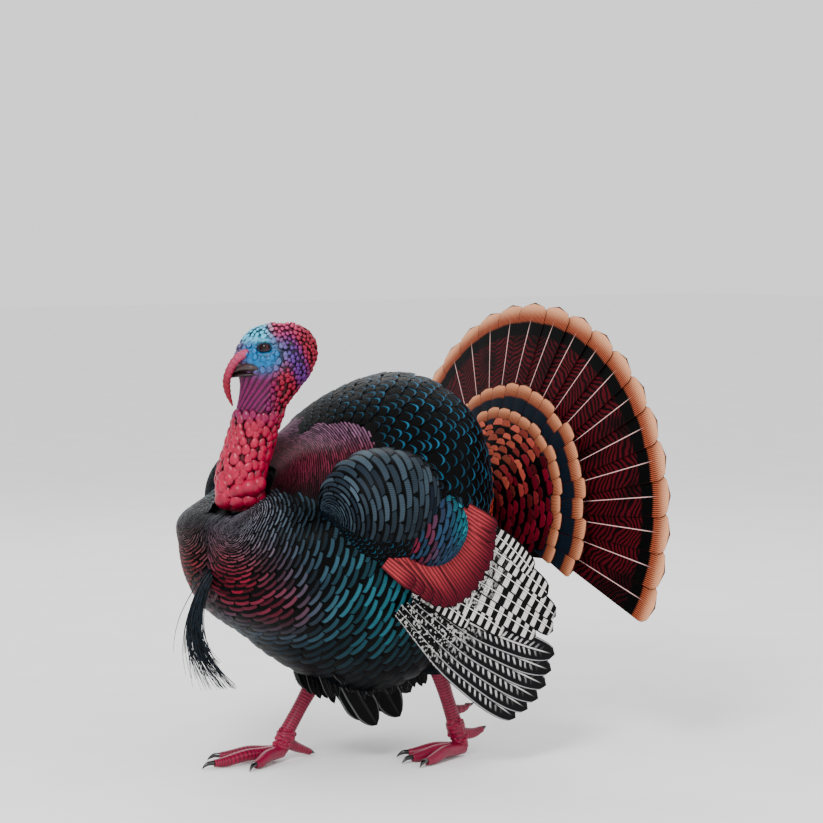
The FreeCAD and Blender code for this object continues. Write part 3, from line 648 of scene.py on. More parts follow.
def clear_of_neck(points):
    """True for grids that stay out of the space the neck and wattle turn in."""
    x, y, z = points[..., 0], points[..., 1], points[..., 2]
    reach = np.hypot(x - NECK_AT, y)
    limit = np.where(x < NECK_FRONT, NECK_REACH_FRONT, NECK_REACH_BACK)
    return ~((reach < limit) & (z > NECK_FOOT)).any(axis=(1, 2))


def side_point(p):
    """Points with both sides of the bird folded onto its left side."""
    return np.stack([p[..., 0], -np.abs(p[..., 1]), p[..., 2]], -1)


def weight(p, point, reach):
    return np.exp(-np.sum((side_point(p) - point) ** 2, -1) / reach ** 2)


def is_dome(p):
    return np.linalg.norm((side_point(p) - (-152, -76, 482)) / (92, 84, 72), axis=-1) < 1


def is_rump(p):
    return (p[:, 0] > 112 + (p[:, 2] - 380) * 0.75) & (p[:, 2] > 236)


def breast_tint(p):
    """Teal and slate, a crimson patch in front, a painted grey highlight, painted shade and near black
    below.
    """
    green = weight(p, (-90, -180, 265), 110) * 1.3 + weight(p, (-272, -80, 400), 45)
    tint = blend(SLATE, TEAL, np.clip(green, 0, 1))
    tint = blend(tint, CRIMSON, np.clip(weight(p, (-300, -62, 322), 62) * 1.25, 0, 1))
    tint = blend(tint, CRIMSON, np.clip(weight(p, (-258, -112, 268), 42), 0, 1) * 0.85)
    # Painted highlight: grey blended in beside the neck's foot.
    tint = blend(tint, PAINTED_HIGHLIGHT_GREY, np.clip(weight(p, (-262, -66, 392), 40) * 1.2, 0, 1))
    # Darker towards the bottom, and painted shade in the hollow in front of the wing.
    dark = smooth(p[:, 2], 262, 150) * 0.9 + weight(p, (-200, -130, 405), 45) * 0.6
    return tint * (1 - np.clip(dark, 0, 0.93))[:, None]


breast, back, dome, rump = Batch(), Batch(), Batch(), Batch()

# Breast and flanks: the left half is laid and then mirrored, with the far side a little greener in front
grids, tips, _ = breast_flow.cover(-6.4, 2.6, 0.086, 27, arch=0.07, taper=0.92, rows=6, columns=6)
below = np.abs(flow.angle(tips)) > 1.42
keep = clear_of_neck(grids) & below & ~is_dome(tips) & ~is_rump(tips) & (tips[:, 1] < 3)
tone = vary(breast_tint(tips[keep]), 0.2, 1.15) * 1.12
far_tone = blend(tone, tone[:, [0, 2, 1]], 0.3 * smooth(tips[keep, 0], -180, -250))
breast.add(grids[keep], tone, 0.70)
breast.add(grids[keep] * [1, -1, 1], far_tone, 0.70, True)

# Back: round black feathers with blue edges
grids, tips, a = flow.cover(-2.4, 2.3, 0.072, 46, lift=0.26, arch=0.30, taper=0.72, rows=7, columns=7)
keep = clear_of_neck(grids) & (np.abs(a) <= 1.46) & ~is_dome(tips) & ~is_rump(tips)
fade = 0.35 + 0.5 * np.clip(weight(tips, (60, -120, 500), 130) + weight(tips, (150, -120, 420), 60), 0, 1)
fade = fade * (1 - 0.9 * weight(tips, (-165, -30, 490), 85))
tone = vary(blend(CYAN, SLATE, rng.random(len(tips)) * 0.6) * fade[:, None], 0.2, 1.3)
back.add(grids[keep], tone[keep], 0.84)

# Scapulars: fine mauve rows that turn crimson and then black
grids, tips, _ = flow.cover(-2.6, 0.2, 0.028, 60, 0.06, lift=0.3, camber=0.03, arch=0.05, taper=1.0,
                            columns=4, rows=4)
keep = clear_of_neck(grids) & is_dome(tips)
tone = blend(MAUVE * 1.5, blend(CRIMSON, MAUVE, 0.25) * 0.8, smooth(tips[:, 2], 518, 484))
tone = vary(tone * (1 - 0.9 * smooth(tips[:, 2], 478, 430))[:, None], 0.35, 1.25)
dome.add(grids[keep], tone[keep], 0.62)

# Rump: coral scales
grids, tips, _ = flow.cover(0.2, 3.2, 0.10, 64, overlap=2.0, lift=0.2, arch=0.3, taper=0.6)
keep = is_rump(tips) & (tips[:, 0] < 205)
rump_tint = blend(CORAL, CRIMSON, np.clip(smooth(tips[:, 2], 430, 300) + 0.4 * rng.random(len(tips)), 0, 1))
rump.add(grids[keep], rump_tint[keep], 0.52)

breast.make("breast_and_flank_feathers", bars, "body", "body_feathers")
back.make("back_feathers", arcs, "body", "body_feathers")
dome.make("scapular_feathers", hairs, "body", "body_feathers")
rump.make("rump_feathers", scales, "body", "body_feathers")

# ---- wings

# Wing forms: centre, half sizes, front pole, back pole
WING_BASE = ((-76, -150, 404), (110, 72, 88), (-0.97, -0.22, 0.02), (0.66, -0.30, -0.68))
FRONT_LOBE = ((-88, -154, 416), (98, 76, 76), (-0.98, -0.10, -0.20), (0.90, -0.30, -0.20))
REAR_LOBE = ((-24, -177, 374), (68, 52, 57), (-0.97, -0.10, 0.05), (0.80, -0.50, -0.50))
# The right wing's front lobe sits a little further back and lower
FAR_LOBE_SHIFT = np.array([18, 0, -12])


def mirrored(points):
    return points * [1, -1, 1]


def flat_feather(root, tip, half, y, bow=0.0, rows=22, columns=9, point=2.2, root_width=0.7, camber=1.2):
    """A long feather beside the body, from root to tip (X, Z), at depth y or from one depth to another."""
    start, end = y if isinstance(y, tuple) else (y, y)
    root, tip = np.array([root[0], start, root[1]], float), np.array([tip[0], end, tip[1]], float)
    s = np.linspace(0, 1, rows)[:, None] ** 0.85
    c = np.linspace(-1, 1, columns)[None]
    along = unit(tip - root)
    across = unit(np.array([-along[2], 0, along[0]]))
    length = np.linalg.norm(tip - root)
    tail = np.clip((s - 0.72) / 0.28, 0, 1)
    width = (root_width + (1 - root_width) * smooth(s, 0, 0.5)) * (1 - tail ** point) ** (1 / point)
    line = s * length
    sag = bow * 4 * s * (1 - s)
    points = root + line[..., None] * along + (c * half * width + sag)[..., None] * across
    out = camber * (1 - c * c) * np.clip(width, 0.1, 1) + 0.6 * s
    return points - out[..., None] * np.array([0, 1, 0])


SECONDARY_ROOTS = curve_through([(76, 368), (50, 330), (0, 290), (-66, 292)], 7)
SECONDARY_TIPS = curve_through([(160, 300), (196, 256), (209, 216), (188, 200), (120, 210), (40, 232)], 7)
COPPER_ROOTS = curve_through([(-112, 336), (-40, 372), (40, 402)], 15)
COPPER_TIPS = curve_through([(-72, 298), (-16, 262), (34, 272), (74, 318), (84, 372)], 15)
PRIMARY_TIPS = curve_through([(210, 168), (200, 128), (176, 96), (140, 76)], 6)
PRIMARY_ROOTS = curve_through([(-36, 274), (-62, 268), (-86, 262)], 6)


def wing_under_feathers(base, side, turn, flip):
    """Small blue-edged feathers over the whole wing root."""
    batch = Batch()
    grids, tips, _ = base.cover(-3.8, 2.4, 0.14, 30, overlap=2.2, lift=0.2, arch=0.25, taper=0.75)
    keep = tips[:, 1] < -128
    tone = vary(blend(CYAN, SLATE, rng.random(keep.sum())), 0.1, 0.7)
    batch.add(grids[keep], tone, 0.86, flip)
    batch.make(f"wing_under_feathers_{side}", arcs, "body", "wing_coverts", turn=turn)


def wing_covert_feathers(front, rear, side, turn, flip):
    """A large slate lobe in front and a smaller teal one behind it."""
    batch = Batch()
    grids, tips, _ = front.cover(-4.2, 2.0, 0.145, 10, 0.06, overlap=2.2, lift=0.40, camber=0.04,
                                 arch=0.06, taper=0.85, rows=8, columns=11)
    keep = tips[:, 1] < -138
    tone = blend(rgb(60, 74, 84), rgb(22, 30, 40), rng.random(len(tips)))
    tone = tone * (1 - 0.6 * smooth(tips[:, 2], 410, 370))[:, None]
    batch.add(grids[keep], vary(tone[keep], 0.5, 1.2), 0.58, flip)
    grids, tips, _ = rear.cover(-3.6, 2.0, 0.17, 12, 0.06, overlap=2.4, lift=0.36, camber=0.06,
                                arch=0.12, taper=0.9, base=1.2)
    keep = tips[:, 1] < -150
    bright = smooth(tips[:, 0], -30, 35) * smooth(tips[:, 2], 340, 400)
    tone = blend(rgb(38, 60, 82), rgb(40, 150, 166), bright)
    tone = blend(tone, CRIMSON, 0.8 * smooth(tips[:, 0], -30, -70) * (rng.random(len(tips)) > 0.4))
    batch.add(grids[keep], vary(tone[keep], 0.5, 1.2), 0.60, flip)
    batch.make(f"wing_covert_feathers_{side}", covert_bars, "body", "wing_coverts", turn=turn)


def copper_patch(side, turn, flip):
    batch = Batch()
    for i, (root, tip) in enumerate(zip(COPPER_ROOTS, COPPER_TIPS)):
        layer = 0.4 * (i % 3)
        feather = flat_feather(root, tip, 13, (-198 - layer, -215.5 - layer), rows=14, columns=9, point=2.6,
                               root_width=0.9)
        batch.add(feather, flip=flip)
    batch.make(f"copper_patch_{side}", copper, "body", "secondaries", turn=turn)


def secondary_feathers(side, turn, flip):
    """White barred strips, each nearer the body than the last and more speckled at the root."""
    batch = Batch()
    for i, (root, tip) in enumerate(zip(SECONDARY_ROOTS, SECONDARY_TIPS)):
        depth = -210.5 + 0.8 * i
        feather = flat_feather(root, tip, 16.5, depth, bow=4.0, rows=24, point=3.0, root_width=0.85)
        batch.add(feather, rim=min(1.0, i / 4), flip=flip)
    replaced = (f"wing_{side}_secondaries",)
    batch.make(f"secondary_feathers_{side}", white_bars, "body", "secondaries", replaced, turn)


def primary_feathers(side, turn, flip):
    batch = Batch()
    for i, (root, tip) in enumerate(zip(PRIMARY_ROOTS, PRIMARY_TIPS)):
        depth = -204.5 + 2.0 * i
        feather = flat_feather(root, tip, 20.5, depth, bow=-9.0, rows=30, point=2.2, root_width=0.5)
        batch.add(feather, flip=flip)
    batch.make(f"primary_feathers_{side}", chevrons, "body", "primaries", (f"wing_{side}_primaries",), turn)


for side in ("left", "right"):
    turn = mirrored if side == "right" else None
    flip = side == "right"
    base, front, rear = (Flow(EllipsoidForm(centre, radii), start, end, (0.3, 0.0, 0.9))
                         for centre, radii, start, end in (WING_BASE, FRONT_LOBE, REAR_LOBE))
    if side == "right":
        front.form.centre = front.form.centre + FAR_LOBE_SHIFT
    wing_under_feathers(base, side, turn, flip)
    wing_covert_feathers(front, rear, side, turn, flip)
    copper_patch(side, turn, flip)
    secondary_feathers(side, turn, flip)
    primary_feathers(side, turn, flip)

# ---- thighs and undertail

# The thigh is an ellipsoid's centre and half sizes; the toes' tips are (X, Y) on the ground
LEGS = {
    "right": {
        "thigh": (-38, 62, 138, 45, 36, 40), "top": (-45, 62, 130), "ankle": (-101, 70, 42),
        "knuckle": (-112, 70, 14), "toes": [(-232, 84), (-186, 34), (-190, 130)], "hind": (-52, 76, 5),
        "spur": (-78, 72, 66)},
    "left": {
        "thigh": (84, -62, 172, 45, 36, 40), "top": (90, -62, 150), "ankle": (122, -70, 50),
        "knuckle": (136, -70, 12), "toes": [(34, -68), (56, -30), (34, -106)], "hind": (176, -70, 36),
        "spur": (160, -70, 80)},
}
# Depth, root and tip (X, Z) and half width of each undertail feather
UNDERTAIL = [(-27, (-70, 158), (2, 56), 23), (0, (-4, 164), (68, 58), 25), (27, (42, 182), (110, 88), 23)]

for side, leg in LEGS.items():
    x, y, z, rx, ry, rz = leg["thigh"]
    cuff = Flow(EllipsoidForm((x, y, z), (rx, ry, rz)), (0.1, 0.1, 1.0), (-0.1, 0.1, -1.0), (1, 0, 0.1))
    batch = Batch()
    grids, tips, _ = cuff.cover(-0.9, 1.35, 0.16, 20, overlap=2.2, lift=0.4)
    batch.add(grids, blend(DEEP, SLATE, rng.random(len(tips))) * 0.25, 0.6)
    batch.make(f"thigh_feathers_{side}", bars, "body", "body_feathers")

fringe = Batch()
for t in np.linspace(0, 1, 26):
    x = -112 + 190 * t
    for y in (-58, -30, 0, 30, 58):
        if rng.random() < 0.8:
            drop = rng.uniform(26, 46) * (1 - 0.3 * abs(y) / 58)
            low_z = 128 + 26 * (y / 58) ** 2 + 22 * abs(t - 0.45) + rng.uniform(-3, 3)
            root, tip = (x, low_z + 22), (x + 16 + 12 * rng.random(), low_z - drop)
            fringe.add(flat_feather(root, tip, 8.5, y, rows=10, columns=5, point=1.5, root_width=0.8))
fringe.make("belly_fringe_feathers", dark_feather, "body", "body_feathers")

under = Batch()
for y, root, tip, half in UNDERTAIL:
    under.add(flat_feather(root, tip, half, y, rows=20, point=1.5, root_width=0.8))
    root, tip = (root[0] - 16, root[1] + 6), (tip[0] - 26, tip[1] + 10)
    under.add(flat_feather(root, tip, half * 0.8, y + 3, rows=16, point=1.5, root_width=0.8))
under.make("undertail_feather_set", dark_feather, "body", "black_feathers", ("undertail_feathers",))

# ---- tail fan

BACKWARD = np.array([math.cos(LEAN), 0, -math.sin(LEAN)])
UPWARD = np.array([math.sin(LEAN), 0, math.cos(LEAN)])
LEANED_HUB = HINGE + (HUB - HINGE)[0] * BACKWARD + (HUB - HINGE)[2] * UPWARD


def fan_point(along, across, angle, depth):
    """A point on the fan's cone, along and across a feather that stands at angle.

    The angle is from upright, positive to the bird's left."""
    reach = np.hypot(along, across)
    turn = angle + np.arctan2(across, np.maximum(along, 1e-3))
    rise = np.maximum(reach - 9, 0) * FAN_CONE + depth
    up, left = (reach * np.cos(turn))[..., None], (reach * np.sin(turn))[..., None]
    return LEANED_HUB + up * UPWARD + left * np.array([0, -1, 0]) + rise[..., None] * BACKWARD


def fan_feather(angle, depth, start=9.0, end=FAN_RADIUS, tip=33.0, root=8.0, rows=40, columns=13, camber=0.3,
                blunt=0.62):
    """One feather of the fan or its covert rings; tip and root are half widths."""
    s = np.linspace(0, 1, rows)[:, None] ** 0.8
    c = np.linspace(-1, 1, columns)[None]
    line = start + (end - start) * s
    neck = end - tip * blunt
    width = np.where(line < neck, root + (tip - root) * (line - start) / (neck - start),
                     tip * np.sqrt(np.maximum(1 - ((line - neck) / (tip * blunt)) ** 2, 0)))
    line = np.broadcast_to(line, (rows, columns))
    return fan_point(line, c * width, angle, depth - camber * (1 - c * c) * smooth(line, start, start + 60))


for side, sign in (("middle", 0), ("left", 1), ("right", -1)):
    for i in range(1, FAN_SIDE_COUNT + 1) if sign else [0]:
        layer = 2 * i - (1 if sign > 0 else 0)
        node_name = f"fan_feather_{side}_{i:02d}" if sign else "fan_feather_middle"
        body_name = f"feather_{side}_{i:02d}" if sign else "tail"
        blade = Batch()
        blade.add(fan_feather(sign * i * FAN_STEP, layer * FAN_PITCH + 0.5))
        blade.make(f"{node_name}_vane", fan_bands, body_name, "fan_feathers", (node_name,))

# Covert rings: outer and inner radius, depth, count, where the peach tip begins, half width
COVERT_RINGS = [(202, 80, -3.6, 25, 0.75, 17.5), (160, 60, -7.0, 23, 0.74, 15.0)]
RING_SPREAD = math.radians(228)
SCALE_SPREAD = math.radians(220)
SCALE_ROWS = (140, 128, 116, 104, 92, 80, 68, 56, 46)
SCALE_SPACING = 22

rings = Batch()
for end, start, depth, count, rim, tip in COVERT_RINGS:
    for i in range(count):
        angle = RING_SPREAD * (i / (count - 1) - 0.5)
        reach = end * (1 + 0.016 * rng.standard_normal())
        blade = fan_feather(angle, depth - 0.5 * (i % 2), start, reach, tip, 4.0, 20, 9, 1.4)
        rings.add(blade, rim=rim)
rings.make("covert_ring_feathers", ring_bands, "tail", "tail_coverts")
inner = Batch()
for row, end in enumerate(SCALE_ROWS):
    count = int(SCALE_SPREAD * end / SCALE_SPACING)
    for i in range(count):
        turned = (i + 0.5 * (row % 2) + 0.25 * rng.random()) / (count - 1) - 0.5
        lower = smooth(abs(turned) + 0.25 * rng.random(), 0.15, 0.45)
        tone = blend(rgb(196, 92, 72), rgb(118, 18, 40), lower)
        depth, start = -8.6 - 0.8 * row, max(end - 34, 20)
        reach = end + 3 * rng.standard_normal()
        blade = fan_feather(SCALE_SPREAD * turned, depth, start, reach, 15.0, 5.0, 14, 11, 2.2, 1.0)
        inner.add(blade, tone * rng.uniform(0.25, 1.0), 0.60)
inner.make("inner_ring_scales", scales, "tail", "tail_coverts")

# ---- head and neck

def head_turn(p):
    """From the head's own frame to the bird's."""
    x = p[:, 0] * math.cos(NECK_YAW) - p[:, 1] * math.sin(NECK_YAW)
    y = p[:, 0] * math.sin(NECK_YAW) + p[:, 1] * math.cos(NECK_YAW)
    return np.stack([x + NECK_AT, y, p[:, 2]], -1)


def head_at(z, phi):
    """Point and normal of the head form at a height and an angle from the back of the head."""
    def point(zz, pp):
        row = spline(HEAD, zz)
        return np.stack([row[..., 0] + row[..., 1] * np.cos(pp), row[..., 2] * np.sin(pp), zz], -1)
    p = point(z, phi)
    above = point(np.clip(z + 0.5, HEAD_LOW, HEAD_HIGH), phi)
    below = point(np.clip(z - 0.5, HEAD_LOW, HEAD_HIGH), phi)
    return p, unit(np.cross(point(z, phi + 0.01) - p, above - below))


ICE = rgb(78, 172, 204)
FACE = rgb(12, 98, 150)
VIOLET = rgb(62, 34, 112)
ROSE = rgb(176, 52, 92)
RED = rgb(128, 4, 42)
MAGENTA = rgb(98, 6, 70)
SCARLET = rgb(152, 8, 52)
# Where the face's own widths along X are counted from
FACE_X = 22


def head_tint(p):
    """Blue face, icy forehead, red crown and nape, violet strip, magenta throat and scarlet neck."""
    x, z = p[..., 0] - FACE_X, p[..., 2]
    tint = blend(RED, SCARLET, smooth(z, 560, 500))
    throat = smooth(z, 525, 560) * smooth(z, 628, 600) * smooth(x, 34, 12)
    tint = blend(tint, MAGENTA, throat)
    crown = smooth(z, 655, 672)
    tint = blend(tint, ROSE, crown * smooth(x, 80, 40))
    face = np.exp(-(((x - 4) / 36) ** 2 + ((z - 636) / 29) ** 2) ** 2)
    strip = np.exp(-(((x - 50 + (z - 640) * 0.35) / 15) ** 2 + ((z - 624) / 44) ** 2) ** 2)
    tint = blend(tint, VIOLET, np.clip(strip, 0, 1) * 0.85)
    tint = blend(tint, FACE, np.clip(face * 1.1, 0, 1))
    ice = smooth(x, 26, 6) * smooth(z, 646, 662)
    return blend(tint, ICE, np.clip(ice, 0, 1))


def spot(x, z, at_x, at_z, half_x, half_z):
    """1 at a place on the side of the head, fading to 0 outside an ellipse."""
    return np.exp(-((z - at_z) / half_z) ** 2 - ((x - at_x) / half_x) ** 2)


def head_skin_form():
    """The skin under the beads: pleated throat, brow, eye socket, cheek, ear and wrinkles."""
    heights, angles = np.linspace(HEAD_LOW, HEAD_HIGH, 150), np.linspace(0, 2 * math.pi, 121)
    z, phi = np.meshgrid(heights, angles, indexing="ij")
    points, normals = head_at(z, phi)
    x = points[..., 0] - FACE_X
    throat = smooth(z, 520, 560) * smooth(z, 632, 596) * smooth(x, 46, 20)
    pleats = np.sin(24 * np.abs(phi - math.pi) - 0.26 * z + 0.9 * np.sin(z * 0.05))
    beside = np.abs(np.sin(phi))
    relief = 1.3 * throat * pleats
    relief += 4.0 * np.exp(-((z - 655) / 4.5) ** 2) * np.exp(-((x - 2) / 22) ** 2) * (beside > 0.2)
    relief -= 4.5 * spot(x, z, 8, 645, 12, 8) * (beside > 0.4)
    relief += 2.5 * spot(x, z, 14, 625, 16, 10)
    relief -= 5.0 * spot(x, z, 40, 648, 5, 5)
    relief += 0.9 * smooth(z, 600, 615) * np.sin(0.55 * z + 0.22 * x) * np.sin(0.31 * x - 0.2 * z)
    points = points + normals * relief[..., None]

    tone = head_tint(points)
    # Painted shade in the troughs of the throat's pleats.
    tone *= (1.1 - 0.85 * throat * smooth(pleats, -0.1, -0.7))[..., None]
    # Painted shade in the ear hole and round the eye socket.
    tone = blend(tone, rgb(14, 16, 26), spot(x, z, 40, 648, 4, 4))
    tone = blend(tone, rgb(20, 20, 34), 0.75 * spot(x, z, 8, 646, 12, 8))
    # Painted shade: the skin under the beads is darkened so the gaps between beads look dark.
    painted_shade_under_beads = np.clip(smooth(z, 560, 530) + smooth(x, 20, 30) + smooth(z, 656, 664), 0, 1)
    tone *= (1 - 0.8 * painted_shade_under_beads)[..., None]
    # Painted shade: thin dark lines for the creases of fine wrinkles on the upper head.
    painted_crease_shade = np.sin(0.5 * z + 0.16 * x + 1.5 * np.sin(0.12 * x))
    painted_crease_shade = painted_crease_shade * np.sin(0.34 * x - 0.2 * z + np.sin(0.2 * z))
    tone *= (1 - 0.6 * smooth(np.abs(painted_crease_shade), 0.22, 0.02) * smooth(z, 600, 612))[..., None]

    cap = np.repeat(points[-1:].mean(axis=1, keepdims=True) + [0, 0, 1.5], points.shape[1], 1)
    foot = np.repeat(points[:1].mean(axis=1, keepdims=True), points.shape[1], 1)
    batch = Batch()
    batch.add(np.concatenate([foot, points, cap]), np.concatenate([tone[:1], tone, tone[-1:]])[None])
    batch.make("head_skin_form", skin, "head", "head_skin", ("head_and_neck",), head_turn)


def scatter(count, z_range, gap, keep):
    """Points of the head form at least gap(z) apart for which keep(x, z) holds."""
    found = np.zeros((0, 3))
    kept = []
    z = rng.uniform(*z_range, count)
    phi = rng.uniform(0, 2 * math.pi, count)
    p, n = head_at(z, phi)
    for i in range(count):
        if not keep(p[i, 0], p[i, 2]):
            continue
        if len(found) and np.min(np.linalg.norm(found - p[i], axis=1)) <= gap(z[i]):
            continue
        found = np.vstack([found, p[i]])
        kept.append(i)
    return p[kept], n[kept], z[kept]


def bead_field(name, material, count, z_range, gap, keep, size):
    """Skin beads with half sizes size(z), each with painted shade round its foot."""
    rows = 12
    p, n, z = scatter(count, z_range, gap, keep)
    axes = vary(np.array([size(h) for h in z]), 0.85, 1.15)
    wander = rng.standard_normal((len(z), 3)) * 0.25 + [0, 0, 1]
    grids = blobs(p + n * axes[:, 2:] * 0.25, axes, frames_about(n, wander), rows, 14, 0.12)
    # Painted shade: each bead is lightest on top and darkens to near black at its foot.
    crown = 0.10 + 1.05 * smooth(np.cos(np.linspace(0, math.pi, rows)), 0.12, 0.80)
    tint = head_tint(p)[:, None, None] * crown[None, :, None, None]
    field = Batch()
    field.add(grids, np.broadcast_to(tint, grids.shape))
    field.make(name, material, "head", "head_skin", turn=head_turn)


def on_face(x, z):
    return ((x - 24) / 36) ** 2 + ((z - 636) / 27) ** 2 < 1


def on_crown(x, z):
    return not on_face(x, z) and (x > 48 or z > 660)


def on_nape(x, z):
    return x > 44 - (606 - z) * 0.25


def on_cheek(x, z):
    """On the face, clear of the eye, the ear and the beak."""
    clear = math.hypot(x - 30, z - 646) > 15 and math.hypot(x - 62, z - 648) > 8
    return on_face(x, z) and clear and (x > 26 or z > 632)


def caruncle_gap(z):
    return 8.2 + (548 - z) * 0.028


def caruncle_size(z):
    return 8.0 + (548 - z) * 0.03, 6.2 + (548 - z) * 0.02, 4.6


head_skin_form()
bead_field("crown_beads", skin, 9000, (600, 679), lambda z: 5.6, on_crown, lambda z: (3.9, 3.3, 2.8))
bead_field("nape_beads", skin, 7000, (540, 606), lambda z: 7.2, on_nape, lambda z: (5.2, 4.2, 3.4))
bead_field("neck_caruncles", gloss_skin, 14000, (417, 548), caruncle_gap, lambda x, z: True, caruncle_size)
bead_field("face_lobes", skin, 2600, (600, 668), lambda z: 8.5, on_cheek, lambda z: (5.4, 4.2, 2.4))

# Snood: X, Y, Z and radius in the head's frame
SNOOD = [(16, -18, 640, 5), (3, -19, 637, 6.6), (-9, -19, 630, 6.8), (-19, -17, 616, 6.4),
         (-25, -14, 597, 6), (-23, -12, 578, 4.6), (-16, -10, 559, 1.2)]


def snood_ripple(s):
    return 1 + 0.07 * np.sin(s * 95) * (s > 0.05)


snood = Batch()
grid = tube(SNOOD, 90, 14, snood_ripple)
fade = smooth(np.linspace(0, 1, len(grid)), 0.1, 0.8)
shade = blend(rgb(170, 66, 98), rgb(116, 4, 36), fade)
snood.add(grid, np.broadcast_to(shade[:, None], grid.shape)[None])
snood.make("snood_skin", skin, "head", "head_skin", ("snood",), head_turn)

# Beak halves: X, Y, Z and half height, each wider than it is high
UPPER_BEAK = [(20, 0, 617, 10), (8, 0, 618, 10), (-4, 0, 616, 7.5), (-14, 0, 611, 4.8), (-22, 0, 605, 2.4),
              (-27, 0, 599, 0.3)]
LOWER_BEAK = [(18, 0, 607, 5), (8, 0, 607, 5), (-4, 0, 606, 4.4), (-14, 0, 603, 2.6), (-21, 0, 599, 0.3)]

beak = Batch()
beak.add(tube(UPPER_BEAK, 30, 28, flat=3.3), rgb(62, 48, 48))
beak.add(tube(LOWER_BEAK, 24, 24, flat=6.0), rgb(40, 28, 30))
beak.make("beak_halves", horn, "head", "beak_horn", ("beak",), head_turn)

# Wattle lobes: centre and half sizes
WATTLE = [((-25, -7, 421), (18, 17, 17)), ((8, -26, 438), (18, 15, 15)), ((-9, -25, 434), (14, 13, 13)),
          ((20, -27, 443), (12, 12, 13)), ((-4, 18, 434), (18, 15, 13)), ((-10, -21, 419), (13, 13, 14)),
          ((7, -23, 420), (12, 12, 13)), ((22, -18, 423), (11, 11, 13))]
UP, FORWARD = np.array([0, 0, 1.0]), np.array([1.0, 0, 0])

centres, sizes = zip(*WATTLE)
upright = frames_about(np.tile(UP, (len(WATTLE), 1)), np.tile(FORWARD, (len(WATTLE), 1)))
lobes = blobs(centres, sizes, upright, 20, 28, 0.08)
# Painted shade: each lobe is lightest on top and darker underneath.
shade = 0.45 + 0.6 * smooth(np.cos(np.linspace(0, math.pi, lobes.shape[1])), -0.9, 0.3)
wattle = Batch()
wattle.add(lobes, np.broadcast_to(SCARLET * shade[:, None, None], lobes.shape))
wattle.make("wattle_lobes", gloss_skin, "head", "wattle_gloss", ("wattle",), head_turn)

EYE_RADIUS = 8.2
LID_LONG, LID_HIGH, LID_OUT = 9.5, 5.4, 5.6

eyes, lids = Batch(), Batch()
for sign in (-1, 1):
    centre = np.array([30.0, sign * 27.5, 646.0])
    gaze = unit(np.array([-0.25, sign * 1.0, 0.05]))
    ball = blobs([centre], [(EYE_RADIUS,) * 3], frames_about(gaze[None], UP[None]), 24, 32)
    out = ((ball[0] - centre) @ gaze / EYE_RADIUS)[..., None]
    tone = np.where(out > 0.6, rgb(62, 16, 14), rgb(10, 6, 10))
    tone = np.where(out > 0.88, rgb(5, 3, 4), tone)
    eyes.add(ball, tone[None])
    lid = []
    for t in np.linspace(0, 2 * math.pi, 15):
        place = centre + gaze * LID_OUT + np.array([LID_LONG * math.cos(t), 0, LID_HIGH * math.sin(t)])
        lid.append((*place, 1.8))
    lids.add(tube(lid, 56, 8), rgb(8, 20, 36))
eyes.make("eye_balls", eye_glass, "head", "glass_eye", ("eyes",), head_turn)
lids.make("eye_lids", skin, "head", "head_skin", turn=head_turn)

# ---- beard, legs and feet

# Beard: X, Y, Z and the tuft's radius
BEARD = np.array([(-288, -12, 320, 6), (-306, -9, 292, 7), (-318, -4, 244, 9.5), (-304, 2, 192, 9),
                  (-272, -6, 140, 5)], float)
STRANDS = 170


def beard_strand():
    """One bristle that starts inside the tuft, flares away from it and thins to its end."""
    offset = rng.standard_normal(2) * [0.55, 0.45]
    flare = rng.standard_normal(2) * [1.3, 0.9]
    ends = rng.uniform(0.72, 1.0) if rng.random() < 0.75 else 1.0
    path = curve_through(BEARD, 12)[: max(5, int(12 * ends))]
    s = np.linspace(0, ends, len(path))
    move = offset[None] * path[:, 3:4] + flare[None] * (s ** 3 * 13)[:, None]
    radius = 0.95 * (1.05 - s / ends) ** 0.6 + 0.1
    return tube(np.column_stack([path[:, :2] + move, path[:, 2], radius]), 14, 4)


beard = Batch()
for _ in range(STRANDS):
    beard.add(beard_strand())
beard.make("beard_strands", bristle, "body", "beard_bristle", ("beard",))

SHANK_RED = rgb(138, 18, 58)
SHANK_DARK = rgb(76, 6, 32)


def at(p, radius, dx=0, dz=0):
    """A tube's path point at p, moved by dx and dz."""
    return p[0] + dx, p[1], p[2] + dz, radius


def scutes(count):
    """A radius factor that steps count times along a limb."""
    def wave(s):
        return 1 + 0.05 * (1 - ((s * count) % 1.0))
    return wave


def add_limb(batch, path, rings, count, around):
    """A scaled limb with a dark groove between its rings."""
    grid = tube(path, count, around, scutes(rings))
    step = (np.linspace(0, 1, len(grid)) * rings) % 1.0
    shade = blend(SHANK_DARK, SHANK_RED, smooth(step, 0.0, 0.5))
    batch.add(grid, np.broadcast_to(shade[:, None], grid.shape)[None])


def add_toe(limb, claws, knuckle, tip):
    reach = tip - knuckle
    toe = [at(knuckle, 10), at(knuckle + reach * 0.25, 9.4, dz=2), at(knuckle + reach * 0.5, 9, dz=4.5),
           at(knuckle + reach * 0.78, 8, dz=1.5), at(tip - reach * 0.05, 5.6, dz=2)]
    add_limb(limb, toe, 20, 120, 16)
    aim = unit(reach)
    claw_path = [at(tip - aim * 6, 4.2, dz=3), at(tip + aim * 4, 3.6, dz=3.5),
                 at(tip + aim * 11, 2.0, dz=0.5), at(tip + aim * 15, 0.4, dz=-3.2)]
    claws.add(tube(claw_path, 18, 10))


